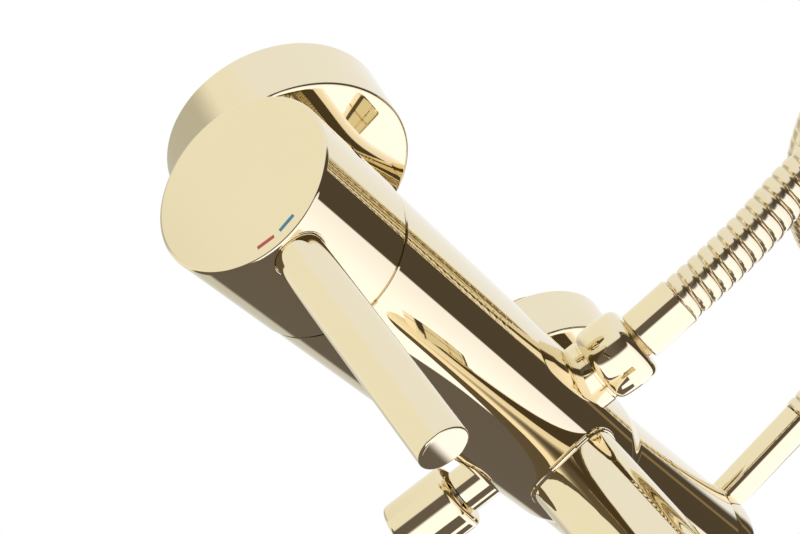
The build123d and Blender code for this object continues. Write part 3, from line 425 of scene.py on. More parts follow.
def surface_unevenness():
    """Cloudy tone and roughness, and a fine grain, from noise over the surface."""
    group = bpy.data.node_groups.new("surface unevenness", "ShaderNodeTree")
    for label, way, kind in (
        ("Scale", "INPUT", "Float"),
        ("Low", "INPUT", "Float"),
        ("High", "INPUT", "Float"),
        ("Colour", "INPUT", "Color"),
        ("Tone", "INPUT", "Color"),
        ("Roughness", "OUTPUT", "Float"),
        ("Base", "OUTPUT", "Color"),
        ("Fine", "OUTPUT", "Float"),
    ):
        group.interface.new_socket(label, in_out=way, socket_type="NodeSocket" + kind)
    nodes = group.nodes
    links = group.links
    given = nodes.new("NodeGroupInput")
    result = nodes.new("NodeGroupOutput")
    place = nodes.new("ShaderNodeTexCoord")
    clouds = nodes.new("ShaderNodeTexNoise")
    clouds.inputs["Detail"].default_value = 4.0
    links.new(place.outputs["Object"], clouds.inputs["Vector"])
    links.new(given.outputs["Scale"], clouds.inputs["Scale"])
    spread = nodes.new("ShaderNodeMapRange")
    spread.inputs["From Min"].default_value = 0.3
    spread.inputs["From Max"].default_value = 0.7
    links.new(clouds.outputs["Fac"], spread.inputs["Value"])
    links.new(given.outputs["Low"], spread.inputs["To Min"])
    links.new(given.outputs["High"], spread.inputs["To Max"])
    links.new(spread.outputs["Result"], result.inputs["Roughness"])
    blend = nodes.new("ShaderNodeMix")
    blend.data_type = "RGBA"
    links.new(clouds.outputs["Fac"], blend.inputs["Factor"])
    links.new(given.outputs["Colour"], blend.inputs["A"])
    links.new(given.outputs["Tone"], blend.inputs["B"])
    links.new(blend.outputs["Result"], result.inputs["Base"])
    finer = nodes.new("ShaderNodeMath")
    finer.operation = "MULTIPLY"
    finer.inputs[1].default_value = 9.0
    links.new(given.outputs["Scale"], finer.inputs[0])
    grain = nodes.new("ShaderNodeTexNoise")
    grain.inputs["Detail"].default_value = 6.0
    links.new(finer.outputs["Value"], grain.inputs["Scale"])
    links.new(place.outputs["Object"], grain.inputs["Vector"])
    links.new(grain.outputs["Fac"], result.inputs["Fine"])
    return group


unevenness = surface_unevenness()


def finish_of(name, colour, tone, roughness, scale, metallic=0.0, grain=0.0, sheen=0.0):
    """A finish: its two tones, its span of roughness and how fine its clouds are."""
    material, tree, shader = tree_of(name)
    effect = tree.nodes.new("ShaderNodeGroup")
    effect.node_tree = unevenness
    effect.inputs["Scale"].default_value = scale
    effect.inputs["Low"].default_value = roughness[0]
    effect.inputs["High"].default_value = roughness[1]
    effect.inputs["Colour"].default_value = (*colour, 1)
    effect.inputs["Tone"].default_value = (*tone, 1)
    tree.links.new(effect.outputs["Base"], shader.inputs["Base Color"])
    tree.links.new(effect.outputs["Roughness"], shader.inputs["Roughness"])
    shader.inputs["Metallic"].default_value = metallic
    shader.inputs["Sheen Weight"].default_value = sheen
    if grain:
        raised = tree.nodes.new("ShaderNodeBump")
        raised.inputs["Strength"].default_value = grain
        raised.inputs["Distance"].default_value = 0.0003
        tree.links.new(effect.outputs["Fine"], raised.inputs["Height"])
        tree.links.new(raised.outputs["Normal"], shader.inputs["Normal"])
    materials[name] = material


finish_of(
    "polished gold", (0.86, 0.75, 0.50), (0.84, 0.73, 0.48),
    (0.01, 0.03), scale=60, metallic=1.0,
)
finish_of(
    "hose gold", (0.86, 0.75, 0.52), (0.82, 0.71, 0.47),
    (0.12, 0.2), scale=90, metallic=1.0,
)
finish_of(
    "turned brass", (0.72, 0.53, 0.24), (0.64, 0.46, 0.20),
    (0.22, 0.38), scale=120, metallic=1.0, grain=0.25,
)
finish_of(
    "plain steel", (0.56, 0.56, 0.57), (0.48, 0.48, 0.50),
    (0.2, 0.35), scale=150, metallic=1.0, grain=0.15,
)
finish_of(
    "fired ceramic", (0.88, 0.87, 0.82), (0.84, 0.83, 0.78),
    (0.15, 0.3), scale=80, grain=0.05,
)
finish_of(
    "cartridge plastic", (0.74, 0.74, 0.71), (0.68, 0.68, 0.66),
    (0.35, 0.5), scale=200, grain=0.2,
)
finish_of(
    "white plastic", (0.82, 0.82, 0.80), (0.76, 0.76, 0.75),
    (0.3, 0.45), scale=200, grain=0.15,
)
finish_of(
    "black rubber", (0.02, 0.02, 0.02), (0.035, 0.034, 0.033),
    (0.6, 0.8), scale=250, grain=0.4,
)
finish_of(
    "red enamel", (0.445, 0.068, 0.055), (0.40, 0.055, 0.045),
    (0.3, 0.45), scale=400, grain=0.1,
)
finish_of(
    "blue enamel", (0.048, 0.205, 0.31), (0.04, 0.18, 0.28),
    (0.3, 0.45), scale=400, grain=0.1,
)
finish_of(
    "woven tie", (0.03, 0.03, 0.034), (0.06, 0.06, 0.066),
    (0.7, 0.9), scale=900, grain=0.9, sheen=0.4,
)


def woven(material):
    """Crossed threads on the tie, in its height and in its tone."""
    tree = material.node_tree
    shader = tree.nodes["Principled BSDF"]
    place = tree.nodes.new("ShaderNodeTexCoord")
    raised = [node for node in tree.nodes if node.type == "BUMP"][0]
    crossed = tree.nodes.new("ShaderNodeMath")
    crossed.operation = "MAXIMUM"
    for number, direction in enumerate(("X", "Y")):
        threads = tree.nodes.new("ShaderNodeTexWave")
        threads.bands_direction = direction
        threads.inputs["Scale"].default_value = 320.0
        threads.inputs["Distortion"].default_value = 0.6
        tree.links.new(place.outputs["Object"], threads.inputs["Vector"])
        tree.links.new(threads.outputs["Fac"], crossed.inputs[number])
    tree.links.new(crossed.outputs["Value"], raised.inputs["Height"])
    shade = tree.nodes.new("ShaderNodeMix")
    shade.data_type = "RGBA"
    shade.inputs["A"].default_value = (0.012, 0.012, 0.014, 1)
    shade.inputs["B"].default_value = (0.07, 0.07, 0.078, 1)
    tree.links.new(crossed.outputs["Value"], shade.inputs["Factor"])
    tree.links.new(shade.outputs["Result"], shader.inputs["Base Color"])


woven(materials["woven tie"])

slot_finishes = {
    "polished_gold": "polished gold",
    "raw_brass": "turned brass",
    "steel": "plain steel",
    "ceramic": "fired ceramic",
    "cartridge_plastic": "cartridge plastic",
    "insert_plastic": "white plastic",
    "seal_rubber": "black rubber",
    "hot_red": "red enamel",
    "cold_blue": "blue enamel",
    "hose_gold": "hose gold",
    "tie_fabric": "woven tie",
}
for name, node in frame["nodes"].items():
    node.data.materials.clear()
    node.data.materials.append(materials[slot_finishes[node_slots[name]]])

# Camera, set from the photograph's angle. Its view is given in the picture's pixels
picture_width = 800
picture_height = 534
view_centre = (487.6, 305.4)
focal_pixels = 1558
camera_data = bpy.data.cameras.new("camera")
camera = bpy.data.objects.new("camera", camera_data)
bpy.context.collection.objects.link(camera)
camera_right = Vector((-0.46163, -0.42294, -0.77976))
camera_down = Vector((-0.42097, -0.66929, 0.61224))
camera_back = Vector((0.78082, -0.61088, -0.13092))
camera_turn = Matrix((camera_right, -camera_down, camera_back)).transposed().to_4x4()
camera.matrix_world = Matrix.Translation((0.35906, -0.31201, -0.06576)) @ camera_turn
camera_data.sensor_width = 36
camera_data.lens = focal_pixels / picture_width * camera_data.sensor_width
camera_data.shift_x = -(view_centre[0] - picture_width / 2) / picture_width
camera_data.shift_y = (view_centre[1] - picture_height / 2) / picture_width
camera_data.clip_start = 0.01
bpy.context.scene.camera = camera

# The shower hose, one cord from its ferrule to its far sleeve
hose_exit = ferrule_head + ferrule_down * ferrule_length
sleeve_foot = rest_centre - rest_up * sleeve_end
route = [
    hose_exit,
    hose_exit + ferrule_down * first_run,
    Vector((outlet_place.x, -47.2, -102.0)),
    Vector((outlet_place.x, coil_start_y, coil_entry_z)),
]
step_turn = 2 * pi / points_each_turn
ring_out = coil_radius / cos(step_turn / 2)
for step in range(coil_half_turns * points_each_turn // 2):
    turn = (step + 0.5) * step_turn
    across = Vector((ring_out * cos(turn), 0, -ring_out * sin(turn)))
    wound = coil_pitch * turn / (2 * pi)
    route.append(coil_centre + across + Y * (coil_start_y + wound))
route += [
    Vector((rest_centre.x, -9.6, coil_entry_z)),
    Vector((rest_centre.x, -15.3, -107.5)),
    sleeve_foot - rest_up * first_run,
    sleeve_foot,
]
route = [point * mm for point in route]


def points_along(name, points):
    """The points that Blender lays along a smooth line, from a line made for it."""
    line = smooth_line(name, points, 16)
    mesh = bpy.data.meshes.new_from_object(line)
    found = [vertex.co.copy() for vertex in mesh.vertices]
    bpy.data.objects.remove(line)
    bpy.data.meshes.remove(mesh)
    return found


def ribbed_tube(name, line, around=24, rings_each_rib=9):
    """A tube of wound metal strip: flat turns with rounded shoulders and a narrow
    groove between them, which winds round the tube once for each rib."""
    lengths = [0.0]
    for before, after in zip(line, line[1:]):
        lengths.append(lengths[-1] + (after - before).length)
    total = lengths[-1]
    sides = []
    side = X
    for number in range(len(line)):
        first = line[max(number - 1, 0)]
        last = line[min(number + 1, len(line) - 1)]
        ahead = (last - first).normalized()
        side = (side - ahead * side.dot(ahead)).normalized()
        sides.append((side.copy(), ahead.cross(side)))

    def point_at(along, turn, size):
        along = min(max(along, 0.0), total)
        number = min(bisect_right(lengths, along) - 1, len(line) - 2)
        share = (along - lengths[number]) / (lengths[number + 1] - lengths[number])
        here = line[number].lerp(line[number + 1], share)
        one = sides[number][0].lerp(sides[number + 1][0], share)
        two = sides[number][1].lerp(sides[number + 1][1], share)
        return here + (one * cos(turn) + two * sin(turn)).normalized() * size

    def rise(phase):
        """The height of the strip's profile, from 0 in the groove to 1."""
        from_groove = min(phase, 1 - phase)
        if from_groove >= rib_groove:
            return 1.0
        return sqrt(1 - (1 - from_groove / rib_groove) ** 2)

    pitch = rib_pitch * mm
    crest = hose_width / 2 * mm
    rings = (int(total / pitch) + 2) * rings_each_rib
    vertices = []
    faces = []
    for ring in range(rings + 1):
        phase = (ring % rings_each_rib) / rings_each_rib
        size = crest - rib_depth * mm * (1 - rise(phase))
        for step in range(around + 1):
            along = pitch * (ring / rings_each_rib - step / around)
            vertices.append(point_at(along, 2 * pi * step / around, size))
    row = around + 1
    for ring in range(rings):
        for step in range(around):
            corner = ring * row + step
            faces.append((corner, corner + 1, corner + row + 1, corner + row))
    mesh = bpy.data.meshes.new(name)
    mesh.from_pydata(vertices, [], faces)
    piece = bpy.data.objects.new(name, mesh)
    bpy.context.collection.objects.link(piece)
    pick(piece)
    bpy.ops.object.mode_set(mode="EDIT")
    bpy.ops.mesh.select_all(action="SELECT")
    bpy.ops.mesh.remove_doubles(threshold=weld_gap * mm)
    bpy.ops.mesh.dissolve_degenerate(threshold=weld_gap * mm)
    closed_up()
    return piece


hose_line = points_along("hose line", route)
hose = ribbed_tube("shower_hose", hose_line)
pick(hose)
bpy.ops.object.shade_smooth_by_angle(angle=radians(60))
hose.data.materials.append(materials["hose gold"])
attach(hose, "mixer")
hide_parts("hose_run", "hose_coil", "hose_return")


# Wall connections: each is made for the right inlet, then copied to the left
def both_sides(piece, name, material, node):
    """Finishes a right-hand piece and its copy for the left inlet."""
    pick(piece)
    bpy.ops.object.duplicate()
    other = bpy.context.object
    other.name = name + "_left"
    bpy.ops.transform.translate(value=(-2 * inlet_x * mm, 0, 0))
    finished(other, material, node=node + "_left")
    finished(piece, material, node=node + "_right")


# Rosette: a shell open to the wall, whose face falls back a little to its rounded rim
rosette_place = Vector((inlet_x, 0, body_centre.z))
rosette_foot_edge = 0.3
rosette_hole_edge = 0.4
face_support = 0.3
face_slope = tan(radians(rosette_dome))
rosette_rim = arc(
    rosette_radius - rosette_edge,
    rosette_depth - rosette_edge,
    rosette_edge,
    0,
    90 - rosette_dome,
    10,
)
rim_radius, rim_reach = rosette_rim[-1]
face_rise = (rim_radius - rosette_seat) * face_slope
face_top = rim_reach + face_rise
rosette = turned(
    "rosette_shell_right",
    rosette_place,
    -Y,
    [
        (rosette_radius - rosette_wall, 0),
        (rosette_radius - rosette_foot_edge, 0),
        (rosette_radius, rosette_foot_edge),
    ]
    + rosette_rim
    + [
        (rim_radius - face_support, rim_reach + face_support * face_slope),
        (rosette_seat, face_top),
        (rosette_hole + rosette_hole_edge, face_top),
        (rosette_hole, face_top - rosette_hole_edge),
        (rosette_hole, face_top - rosette_wall),
        (rosette_seat, face_top - rosette_wall),
        (rosette_radius - rosette_wall, face_top - rosette_wall - face_rise),
        (rosette_radius - rosette_wall, 0),
    ],
    steps=160,
)
both_sides(rosette, "rosette_shell", "polished gold", "rosette")

union_nut = hexagon("wall_nut_right", rosette_place, nut_across, nut_back, nut_front)
nut_chamfer = 1.0
nut_end_radius = nut_round - 1.6 * nut_chamfer
nut_bore = 10.1
nut_blank = turned(
    "nut blank",
    rosette_place,
    -Y,
    [
        (0, nut_back),
        (nut_end_radius, nut_back),
        (nut_round, nut_back + nut_chamfer),
        (nut_round, nut_front - nut_chamfer),
        (nut_end_radius, nut_front),
        (0, nut_front),
    ],
)
worked(union_nut, nut_blank, "INTERSECT")
nut_hole = round_bar(
    "nut hole", rosette_place, -Y, nut_bore, nut_back - overrun, nut_front + overrun
)
worked(union_nut, nut_hole, "DIFFERENCE")
eased(union_nut, 0.25, segments=2, angle=20)
both_sides(union_nut, "wall_nut", "polished gold", "union_nut")

# Wall union: a thread that goes into the wall, a hexagon, and an offset round end
wall_thread_place = Vector((inlet_x, 0, 0))
union_hex_across = 26
union_hex_thick = 6
union_hex_rise = 3
union_end_radius = 13.2
union_end_chamfer = 0.4
union_end_back = 3
union_end_front = 26
thread_rings = int(thread_length / thread_pitch)
thread_start = 0.6
thread_profile = [
    (union_bore, union_hex_thick),
    (thread_root, union_hex_thick),
    (thread_root, thread_start),
]
for ring in range(thread_rings):
    for radius, share in (
        (thread_root, 0),
        (thread_radius, 0.4),
        (thread_radius, 0.55),
        (thread_root, 0.95),
    ):
        thread_profile.append((radius, -thread_start - (ring + share) * thread_pitch))
thread_profile += [
    (thread_root, -thread_length),
    (union_bore, -thread_length),
    thread_profile[0],
]
wall_union = turned(
    "wall_union_right", wall_thread_place, -Y, thread_profile, steps=72
)
union_hex = hexagon(
    "union hex",
    wall_thread_place + Z * union_hex_rise,
    union_hex_across,
    0,
    union_hex_thick,
)
union_end = turned(
    "union end",
    rosette_place,
    -Y,
    [
        (union_bore, union_end_back),
        (union_end_radius, union_end_back),
        (union_end_radius, union_end_front - union_end_chamfer),
        (union_end_radius - union_end_chamfer, union_end_front),
        (union_bore, union_end_front),
        (union_bore, union_end_back),
    ],
)
union_way = round_bar(
    "union way", wall_thread_place, -Y, union_bore, -overrun, union_hex_thick + overrun
)
worked(union_hex, union_way, "DIFFERENCE")
eased(union_hex, 0.3, segments=2)
joined(wall_union, union_hex, union_end)
both_sides(wall_union, "wall_union", "turned brass", "s_union")


# Body tube with its waist, its pads for the two inlets, and the far cap
def waist_profile(steps=12):
    """The smooth step from the straight tube to the slender end of the cone."""
    widening = (far_end_radius - waist_radius) / (waist_left - body_left)
    length = waist_right - waist_left
    points = []
    for step in range(steps + 1):
        share = step / steps
        radius = body_radius * (2 * share**3 - 3 * share**2 + 1)
        radius += waist_radius * (3 * share**2 - 2 * share**3)
        radius += widening * length * (share**3 - share**2)
        points.append((radius, waist_right - length * share))
    return points


rim_edge = 0.3
pad_chamfer = 0.4
pad_sink = 8
body = turned(
    "body_tube",
    body_centre,
    X,
    [
        (0, bulkhead[0]),
        (body_bore, bulkhead[0]),
        (body_bore, body_left),
        (far_end_radius - rim_edge, body_left),
        (far_end_radius, body_left + rim_edge),
    ]
    + waist_profile()[::-1]
    + [
        (body_radius, body_right - rim_edge),
        (body_radius - rim_edge, body_right),
        (body_bore, body_right),
        (body_bore, bulkhead[1]),
        (0, bulkhead[1]),
    ],
    steps=192,
)
for side in (-1, 1):
    pad_place = Vector((side * inlet_x, 0, body_centre.z))
    pad = turned(
        "inlet pad",
        pad_place,
        -Y,
        [
            (0, pad_end),
            (pad_radius - pad_chamfer, pad_end),
            (pad_radius, pad_end + pad_chamfer),
            (pad_radius, pad_end + pad_sink),
            (0, pad_end + pad_sink),
        ],
    )
    worked(body, pad, "UNION")
finished(body, node="mixer_body")

flare_rise = cap_radius - far_end_radius
flare_length = body_left - cap_left - cap_edge
flare_power = 1.6
cap_joint = body_left - 0.05
spigot_radius = body_bore - 0.1
spigot_inside = body_bore - 2.5
spigot_end = body_left + 9
cap = turned(
    "far_cap",
    body_centre,
    X,
    [(0, cap_left)]
    + arc(cap_radius - cap_edge, cap_left + cap_edge, cap_edge, -90, 0, 10)
    + [
        (
            cap_radius - flare_rise * share**flare_power,
            cap_left + cap_edge + flare_length * share,
        )
        for share in (0.15, 0.3, 0.45, 0.6, 0.75, 0.9)
    ]
    + [
        (far_end_radius - rim_edge, cap_joint),
        (spigot_radius, cap_joint),
        (spigot_radius, spigot_end),
        (spigot_inside, spigot_end),
        (spigot_inside, cap_left + cap_wall),
        (0, cap_left + cap_wall),
    ],
    steps=192,
)
finished(cap, node="end_cap")

# Dome ring, which closes the seam under the handle
seam_chamfer = 0.12
seam_face_radius = seam_ring_radius - 0.15
dome = turned(
    "dome_shell",
    body_centre,
    X,
    [
        (dome_inside, body_right),
        (seam_face_radius, body_right),
        (seam_ring_radius, body_right + seam_chamfer),
        (seam_ring_radius, seam_ring_right - seam_chamfer),
        (seam_face_radius, seam_ring_right),
        (dome_radius, seam_ring_right),
    ]
    + arc(0, handle_rim, dome_radius, 0, 90 - dome_opening, 10)
    + arc(0, handle_rim, dome_inside, 90 - dome_opening, 0, 10)
    + [(dome_inside, body_right)],
    steps=160,
)
finished(dome, node="dome_ring")

# Handle: a cup with a hub, relieved towards the wall, with the lever's seat
cup_chamfer = 0.3
cup_inside = handle_radius - handle_wall
handle = turned(
    "handle_cup",
    body_centre,
    X,
    [
        (0, hub_start),
        (hub_radius, hub_start),
        (hub_radius, handle_floor),
        (cup_inside, handle_floor),
        (cup_inside, handle_rim + cup_chamfer),
        (cup_inside + cup_chamfer, handle_rim),
        (handle_radius - cup_chamfer, handle_rim),
        (handle_radius, handle_rim + cup_chamfer),
    ]
    + arc(handle_radius - handle_edge, handle_face - handle_edge, handle_edge, 0, 90, 5)
    + [(0, handle_face)],
    steps=192,
)
relief_block = 80.0
relief_middle = body_centre + X * handle_rim - lever_out * relief_start
slant = radians(relief_angle)
outwards = -lever_out * cos(slant) + X * sin(slant)
downwards = -lever_out * sin(slant) - X * cos(slant)
relief_place = relief_middle + (outwards + downwards) * relief_block / 2
relief_turn = Matrix((outwards, downwards, outwards.cross(downwards))).transposed()
relief = block(
    "relief cutter",
    relief_place,
    (relief_block, relief_block, relief_block),
    relief_turn.to_euler(),
)
worked(handle, relief, "DIFFERENCE")
seat_floor = handle_radius - lever_seat_depth
seat_end = handle_radius + 3
seat = round_bar(
    "lever seat", lever_foot, lever_axis, lever_seat_radius, seat_floor, seat_end
)
worked(handle, seat, "DIFFERENCE")
grub_start = 7
grub_end = handle_radius + 2
grub_place = body_centre + X * grub_x
grub_way = round_bar(
    "grub hole", grub_place, -lift_axis, grub_hole, grub_start, grub_end, steps=48
)
worked(handle, grub_way, "DIFFERENCE")
finished(handle, body="handle", node="handle_barrel")

seat_lip = ring_on_saddle(
    "lever_seat_lip",
    lever_foot - X * handle_radius * tan(lever_lean),
    lever_out,
    X,
    ring_radius=lever_seat_radius + 0.1,
    saddle_radius=handle_radius - 0.05,
    thickness=0.22,
)
finished(seat_lip, body="handle")

lever_edge = 0.6
lever = turned(
    "lever_rod",
    lever_foot,
    lever_axis,
    [(0, seat_floor), (lever_radius, seat_floor)]
    + arc(lever_radius - lever_edge, lever_length - lever_edge, lever_edge, 0, 90, 6)
    + [(0, lever_length)],
    steps=128,
)
finished(lever, body="handle", node="lever_pin")

# Hot and cold marks: enamel let into the handle's end face, a hair proud of it
mark_proud = 0.03
mark_block = (mark_depth + mark_proud, mark_width, mark_length)
for name, side, paint in (
    ("hot_mark", -1, "red enamel"),
    ("cold_mark", 1, "blue enamel"),
):
    turn = side * mark_angle
    across = lever_out * cos(turn) + X.cross(lever_out) * sin(turn)
    along = X.cross(across)
    place = body_centre + X * (handle_face + mark_proud - mark_block[0] / 2)
    place += across * mark_circle
    mark_turn = Matrix((X, across, along)).transposed()
    mark = block(name + "_fill", place, mark_block, mark_turn.to_euler())
    eased(mark, 0.08, segments=2)
    finished(mark, paint, body="handle", node=name)

# Spout: a sloping tube on the body, with the boss of its aerator under the tip
spout_start = 12
spout = turned(
    "spout_skin",
    spout_foot,
    spout_out,
    [(0, spout_start), (spout_radius, spout_start)]
    + arc(spout_radius - spout_edge, spout_length - spout_edge, spout_edge, 0, 90, 10)
    + [(0, spout_length)],
    steps=160,
)
aerator_place = spout_foot + spout_out * (spout_length - aerator_back)
boss_chamfer = 0.3
boss = turned(
    "aerator boss",
    aerator_place,
    -Z,
    [
        (0, 0),
        (boss_radius, 0),
        (boss_radius, boss_drop - boss_chamfer),
        (boss_radius - boss_chamfer, boss_drop),
        (0, boss_drop),
    ],
    steps=128,
)
worked(spout, boss, "UNION")
saddle_radius = body_radius + 0.1
saddle_left = -70
saddle_right = 10
saddle = round_bar(
    "body saddle", body_centre, X, saddle_radius, saddle_left, saddle_right, steps=192
)
worked(spout, saddle, "DIFFERENCE")
finished(spout, node="spout_tube")
root_ring = ring_on_saddle(
    "spout_root_ring",
    spout_foot,
    spout_out,
    X,
    ring_radius=spout_radius + 0.15,
    saddle_radius=body_radius + 0.3,
    thickness=0.75,
)
finished(root_ring)

# Aerator collar, with two crossed slots for a coin
collar_edge = 0.8
collar_mouth = 0.5
collar_end = collar_drop + collar_length
slot_width = 2.4
slot_depth = 1.0
collar = turned(
    "aerator_collar",
    aerator_place,
    -Z,
    [
        (collar_bore, collar_drop),
        (boss_radius - boss_chamfer, collar_drop),
        (boss_radius, collar_drop + boss_chamfer),
    ]
    + arc(boss_radius - collar_edge, collar_end - collar_edge, collar_edge, 0, 90, 5)
    + [
        (collar_bore + collar_mouth, collar_end),
        (collar_bore, collar_end - collar_mouth),
        (collar_bore, collar_drop),
    ],
    steps=128,
)
for turn in (0, pi / 2):
    slot_cutter = block(
        "coin slot",
        aerator_place - Z * (collar_end - slot_depth + slot_width / 2),
        (slot_width, 2 * (boss_radius + overrun), slot_width),
        (0, 0, turn),
    )
    worked(collar, slot_cutter, "DIFFERENCE")
finished(collar, node="aerator_housing")

# Diverter: neck and pull knob
neck_edge = 0.4
neck_foot = 15
bonnet = turned(
    "diverter_neck",
    diverter_place,
    Z,
    [
        (spindle_radius, neck_foot),
        (bonnet_radius, neck_foot),
        (bonnet_radius, bonnet_top - neck_edge),
        (bonnet_radius - neck_edge, bonnet_top),
        (spindle_radius, bonnet_top),
        (spindle_radius, neck_foot),
    ],
)
finished(bonnet, node="diverter_bonnet")
knob_foot = 2.2
knob_edge = 1.2
knob_bore_end = knob_top - 8
knob = turned(
    "diverter_button",
    diverter_place,
    Z,
    [
        (0, knob_bore_end),
        (spindle_radius, knob_bore_end),
        (spindle_radius, knob_bottom),
    ]
    + arc(knob_radius - knob_foot, knob_bottom + knob_foot, knob_foot, -90, 0, 8)
    + arc(knob_radius - knob_edge, knob_top - knob_edge, knob_edge, 0, 90, 8)
    + [(0, knob_top)],
    steps=128,
)
finished(knob, body="diverter", node="diverter_knob")

# Return spring of the diverter, which the rising valve presses together
nothing_selected()
bpy.ops.mesh.primitive_circle_add(
    vertices=12, radius=spring_wire * mm, rotation=(pi / 2, 0, 0)
)
spring = bpy.context.object
spring.name = "return_spring"
settle(spring)
bpy.ops.object.mode_set(mode="EDIT")
bpy.ops.mesh.select_all(action="SELECT")
bpy.ops.transform.translate(value=(spring_radius * mm, 0, 0))
bpy.ops.object.mode_set(mode="OBJECT")
spring.location = (diverter_place + Z * spring_low) * mm
add_and_apply(
    spring,
    "SCREW",
    angle=pi,
    screw_offset=(spring_high - spring_low) / spring_half_turns * mm,
    iterations=spring_half_turns,
    steps=spring_steps,
    render_steps=spring_steps,
)
bpy.ops.object.mode_set(mode="EDIT")
closed_up()
finished(spring, "plain steel", node="diverter_spring")
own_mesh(spring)

# Hose outlet: neck, nut and the leaning ferrule
outlet_bore = 6
outlet_end = 33
outlet_thread = neck_radius - 0.3
outlet = turned(
    "outlet_neck",
    outlet_place,
    -Z,
    [
        (outlet_bore, neck_foot),
        (neck_radius, neck_foot),
        (neck_radius, neck_end - 0.3),
        (outlet_thread, neck_end),
        (outlet_thread, outlet_end),
        (outlet_bore, outlet_end),
        (outlet_bore, neck_foot),
    ],
)
finished(outlet, node="outlet_nipple")

# Hose nut: its side bulges like a barrel's and runs into round corners
nut_middle = (hose_nut_top + hose_nut_bottom) / 2
nut_bulge = 32.0
nut_slant = 9.0
nut_lean = sin(radians(nut_slant))
nut_corner = (nut_middle - hose_nut_top - nut_bulge * nut_lean) / (1 - nut_lean)
nut_side = arc(
    hose_nut_radius - nut_bulge, nut_middle, nut_bulge, -nut_slant, nut_slant, 12
)
corner_radius = nut_side[-1][0] - nut_corner * cos(radians(nut_slant))
corner_reach = nut_side[-1][1] - nut_corner * nut_lean - nut_middle
nut_top = nut_middle - corner_reach - nut_corner
nut_bottom = nut_middle + corner_reach + nut_corner
nut_inside = 6.3
hose_nut = turned(
    "hose_nut_shell",
    outlet_place,
    -Z,
    [(nut_inside, nut_top)]
    + arc(corner_radius, nut_middle - corner_reach, nut_corner, -90, -nut_slant, 8)[:-1]
    + nut_side
    + arc(corner_radius, nut_middle + corner_reach, nut_corner, nut_slant, 90, 8)[1:]
    + [(nut_inside, nut_bottom), (nut_inside, nut_top)],
    steps=128,
)
finished(hose_nut, node="hose_nut")


def sleeve_profile(near, far, radius, edge=0.6):
    """A thick tube with rounded ends."""
    return (
        [(ferrule_bore, near)]
        + arc(radius - edge, near + edge, edge, -90, 0, 5)
        + arc(radius - edge, far - edge, edge, 0, 90, 5)
        + [(ferrule_bore, far), (ferrule_bore, near)]
    )


ferrule = turned(
    "hose_ferrule_shell",
    ferrule_head,
    ferrule_down,
    sleeve_profile(ferrule_start, ferrule_length, ferrule_radius),
)
finished(ferrule, node="hose_ferrule")
far_sleeve = turned(
    "far_sleeve",
    rest_centre,
    -rest_up,
    sleeve_profile(cone_bottom + cone_gap, sleeve_end, sleeve_radius),
)
finished(far_sleeve, node="hose_end_sleeve")
cone_chamfer = 0.3
cone = turned(
    "far_cone_nut",
    rest_centre,
    rest_up,
    [
        (ferrule_bore, -cone_bottom),
        (sleeve_radius - cone_chamfer, -cone_bottom),
        (sleeve_radius + 0.05, -cone_bottom + 0.4),
        (cone_radius - 0.1, cone_top - 2 * cone_chamfer),
        (cone_radius - 0.1 - cone_chamfer, cone_top),
        (cone_thread + cone_chamfer, cone_top),
        (cone_thread, cone_top - cone_chamfer),
        (cone_thread, -cone_floor),
        (ferrule_bore, -cone_floor),
        (ferrule_bore, -cone_bottom),
    ],
)
finished(cone, node="handset_nut")


# Rest for the hose end: an open ring with a conical bore, on a stub from the cap
def cone_width(height):
    """The cone nut's radius at a height above the rest's middle."""
    share = (height + cone_bottom) / (cone_top + cone_bottom)
    return sleeve_radius + (cone_radius - sleeve_radius) * share


rest_bore_low = cone_width(-rest_bottom) + cone_gap
rest_bore_high = cone_width(rest_top) + cone_gap
rest = turned(
    "hose_rest",
    rest_centre,
    rest_up,
    [(rest_bore_low, -rest_bottom)]
    + arc(rest_radius - rest_edge, rest_edge - rest_bottom, rest_edge, -90, 0, 6)
    + arc(rest_radius - rest_edge, rest_top - rest_edge, rest_edge, 0, 90, 6)
    + [(rest_bore_high, rest_top), (rest_bore_low, -rest_bottom)],
    steps=128,
)
opening_width = 14.7
opening_height = 40
rest_opening = block(
    "rest opening",
    rest_centre - X * rest_radius,
    (2 * rest_radius, opening_width, opening_height),
    (rest_tilt, 0, 0),
)
worked(rest, rest_opening, "DIFFERENCE")
stub_place = Vector((0, rest_centre.y, rest_centre.z))
stub_root = -cap_left
stub_end = 162.8
# The stub widens in small steps to its root on the cap
stub = turned(
    "rest stub",
    stub_place,
    -X,
    [
        (0, stub_root),
        (rest_stub + 0.8, stub_root),
        (rest_stub + 0.2, stub_root + 0.4),
        (rest_stub, stub_root + 1.2),
        (rest_stub, stub_end),
        (0, stub_end),
    ],
)
worked(rest, stub, "UNION")
finished(rest, node="handset_cradle")

# Woven strap round the coil, with its free end laid back on it
strap_y = -28.6
strap_end_long = 26
strap_end_thick = 1.1
strap_middle = Vector((coil_centre.x, strap_y, coil_centre.z - coil_radius))
strap = block("coil_strap", strap_middle, (strap_width, strap_long, strap_deep))
bpy.ops.object.mode_set(mode="EDIT")
bpy.ops.mesh.select_all(action="DESELECT")
bpy.ops.object.mode_set(mode="OBJECT")
for edge in strap.data.edges:
    ends = [strap.data.vertices[number].co for number in edge.vertices]
    edge.select = abs(ends[0].x - ends[1].x) > 1 * mm
bpy.ops.object.mode_set(mode="EDIT")
bpy.ops.mesh.select_mode(type="EDGE")
bpy.ops.mesh.bevel(offset=strap_corner * mm, segments=8, affect="EDGES")
bpy.ops.object.mode_set(mode="OBJECT")
for face in strap.data.polygons:
    face.select = abs(face.normal.x) > 0.9
bpy.ops.object.mode_set(mode="EDIT")
bpy.ops.mesh.select_mode(type="FACE")
bpy.ops.mesh.delete(type="FACE")
bpy.ops.object.mode_set(mode="OBJECT")
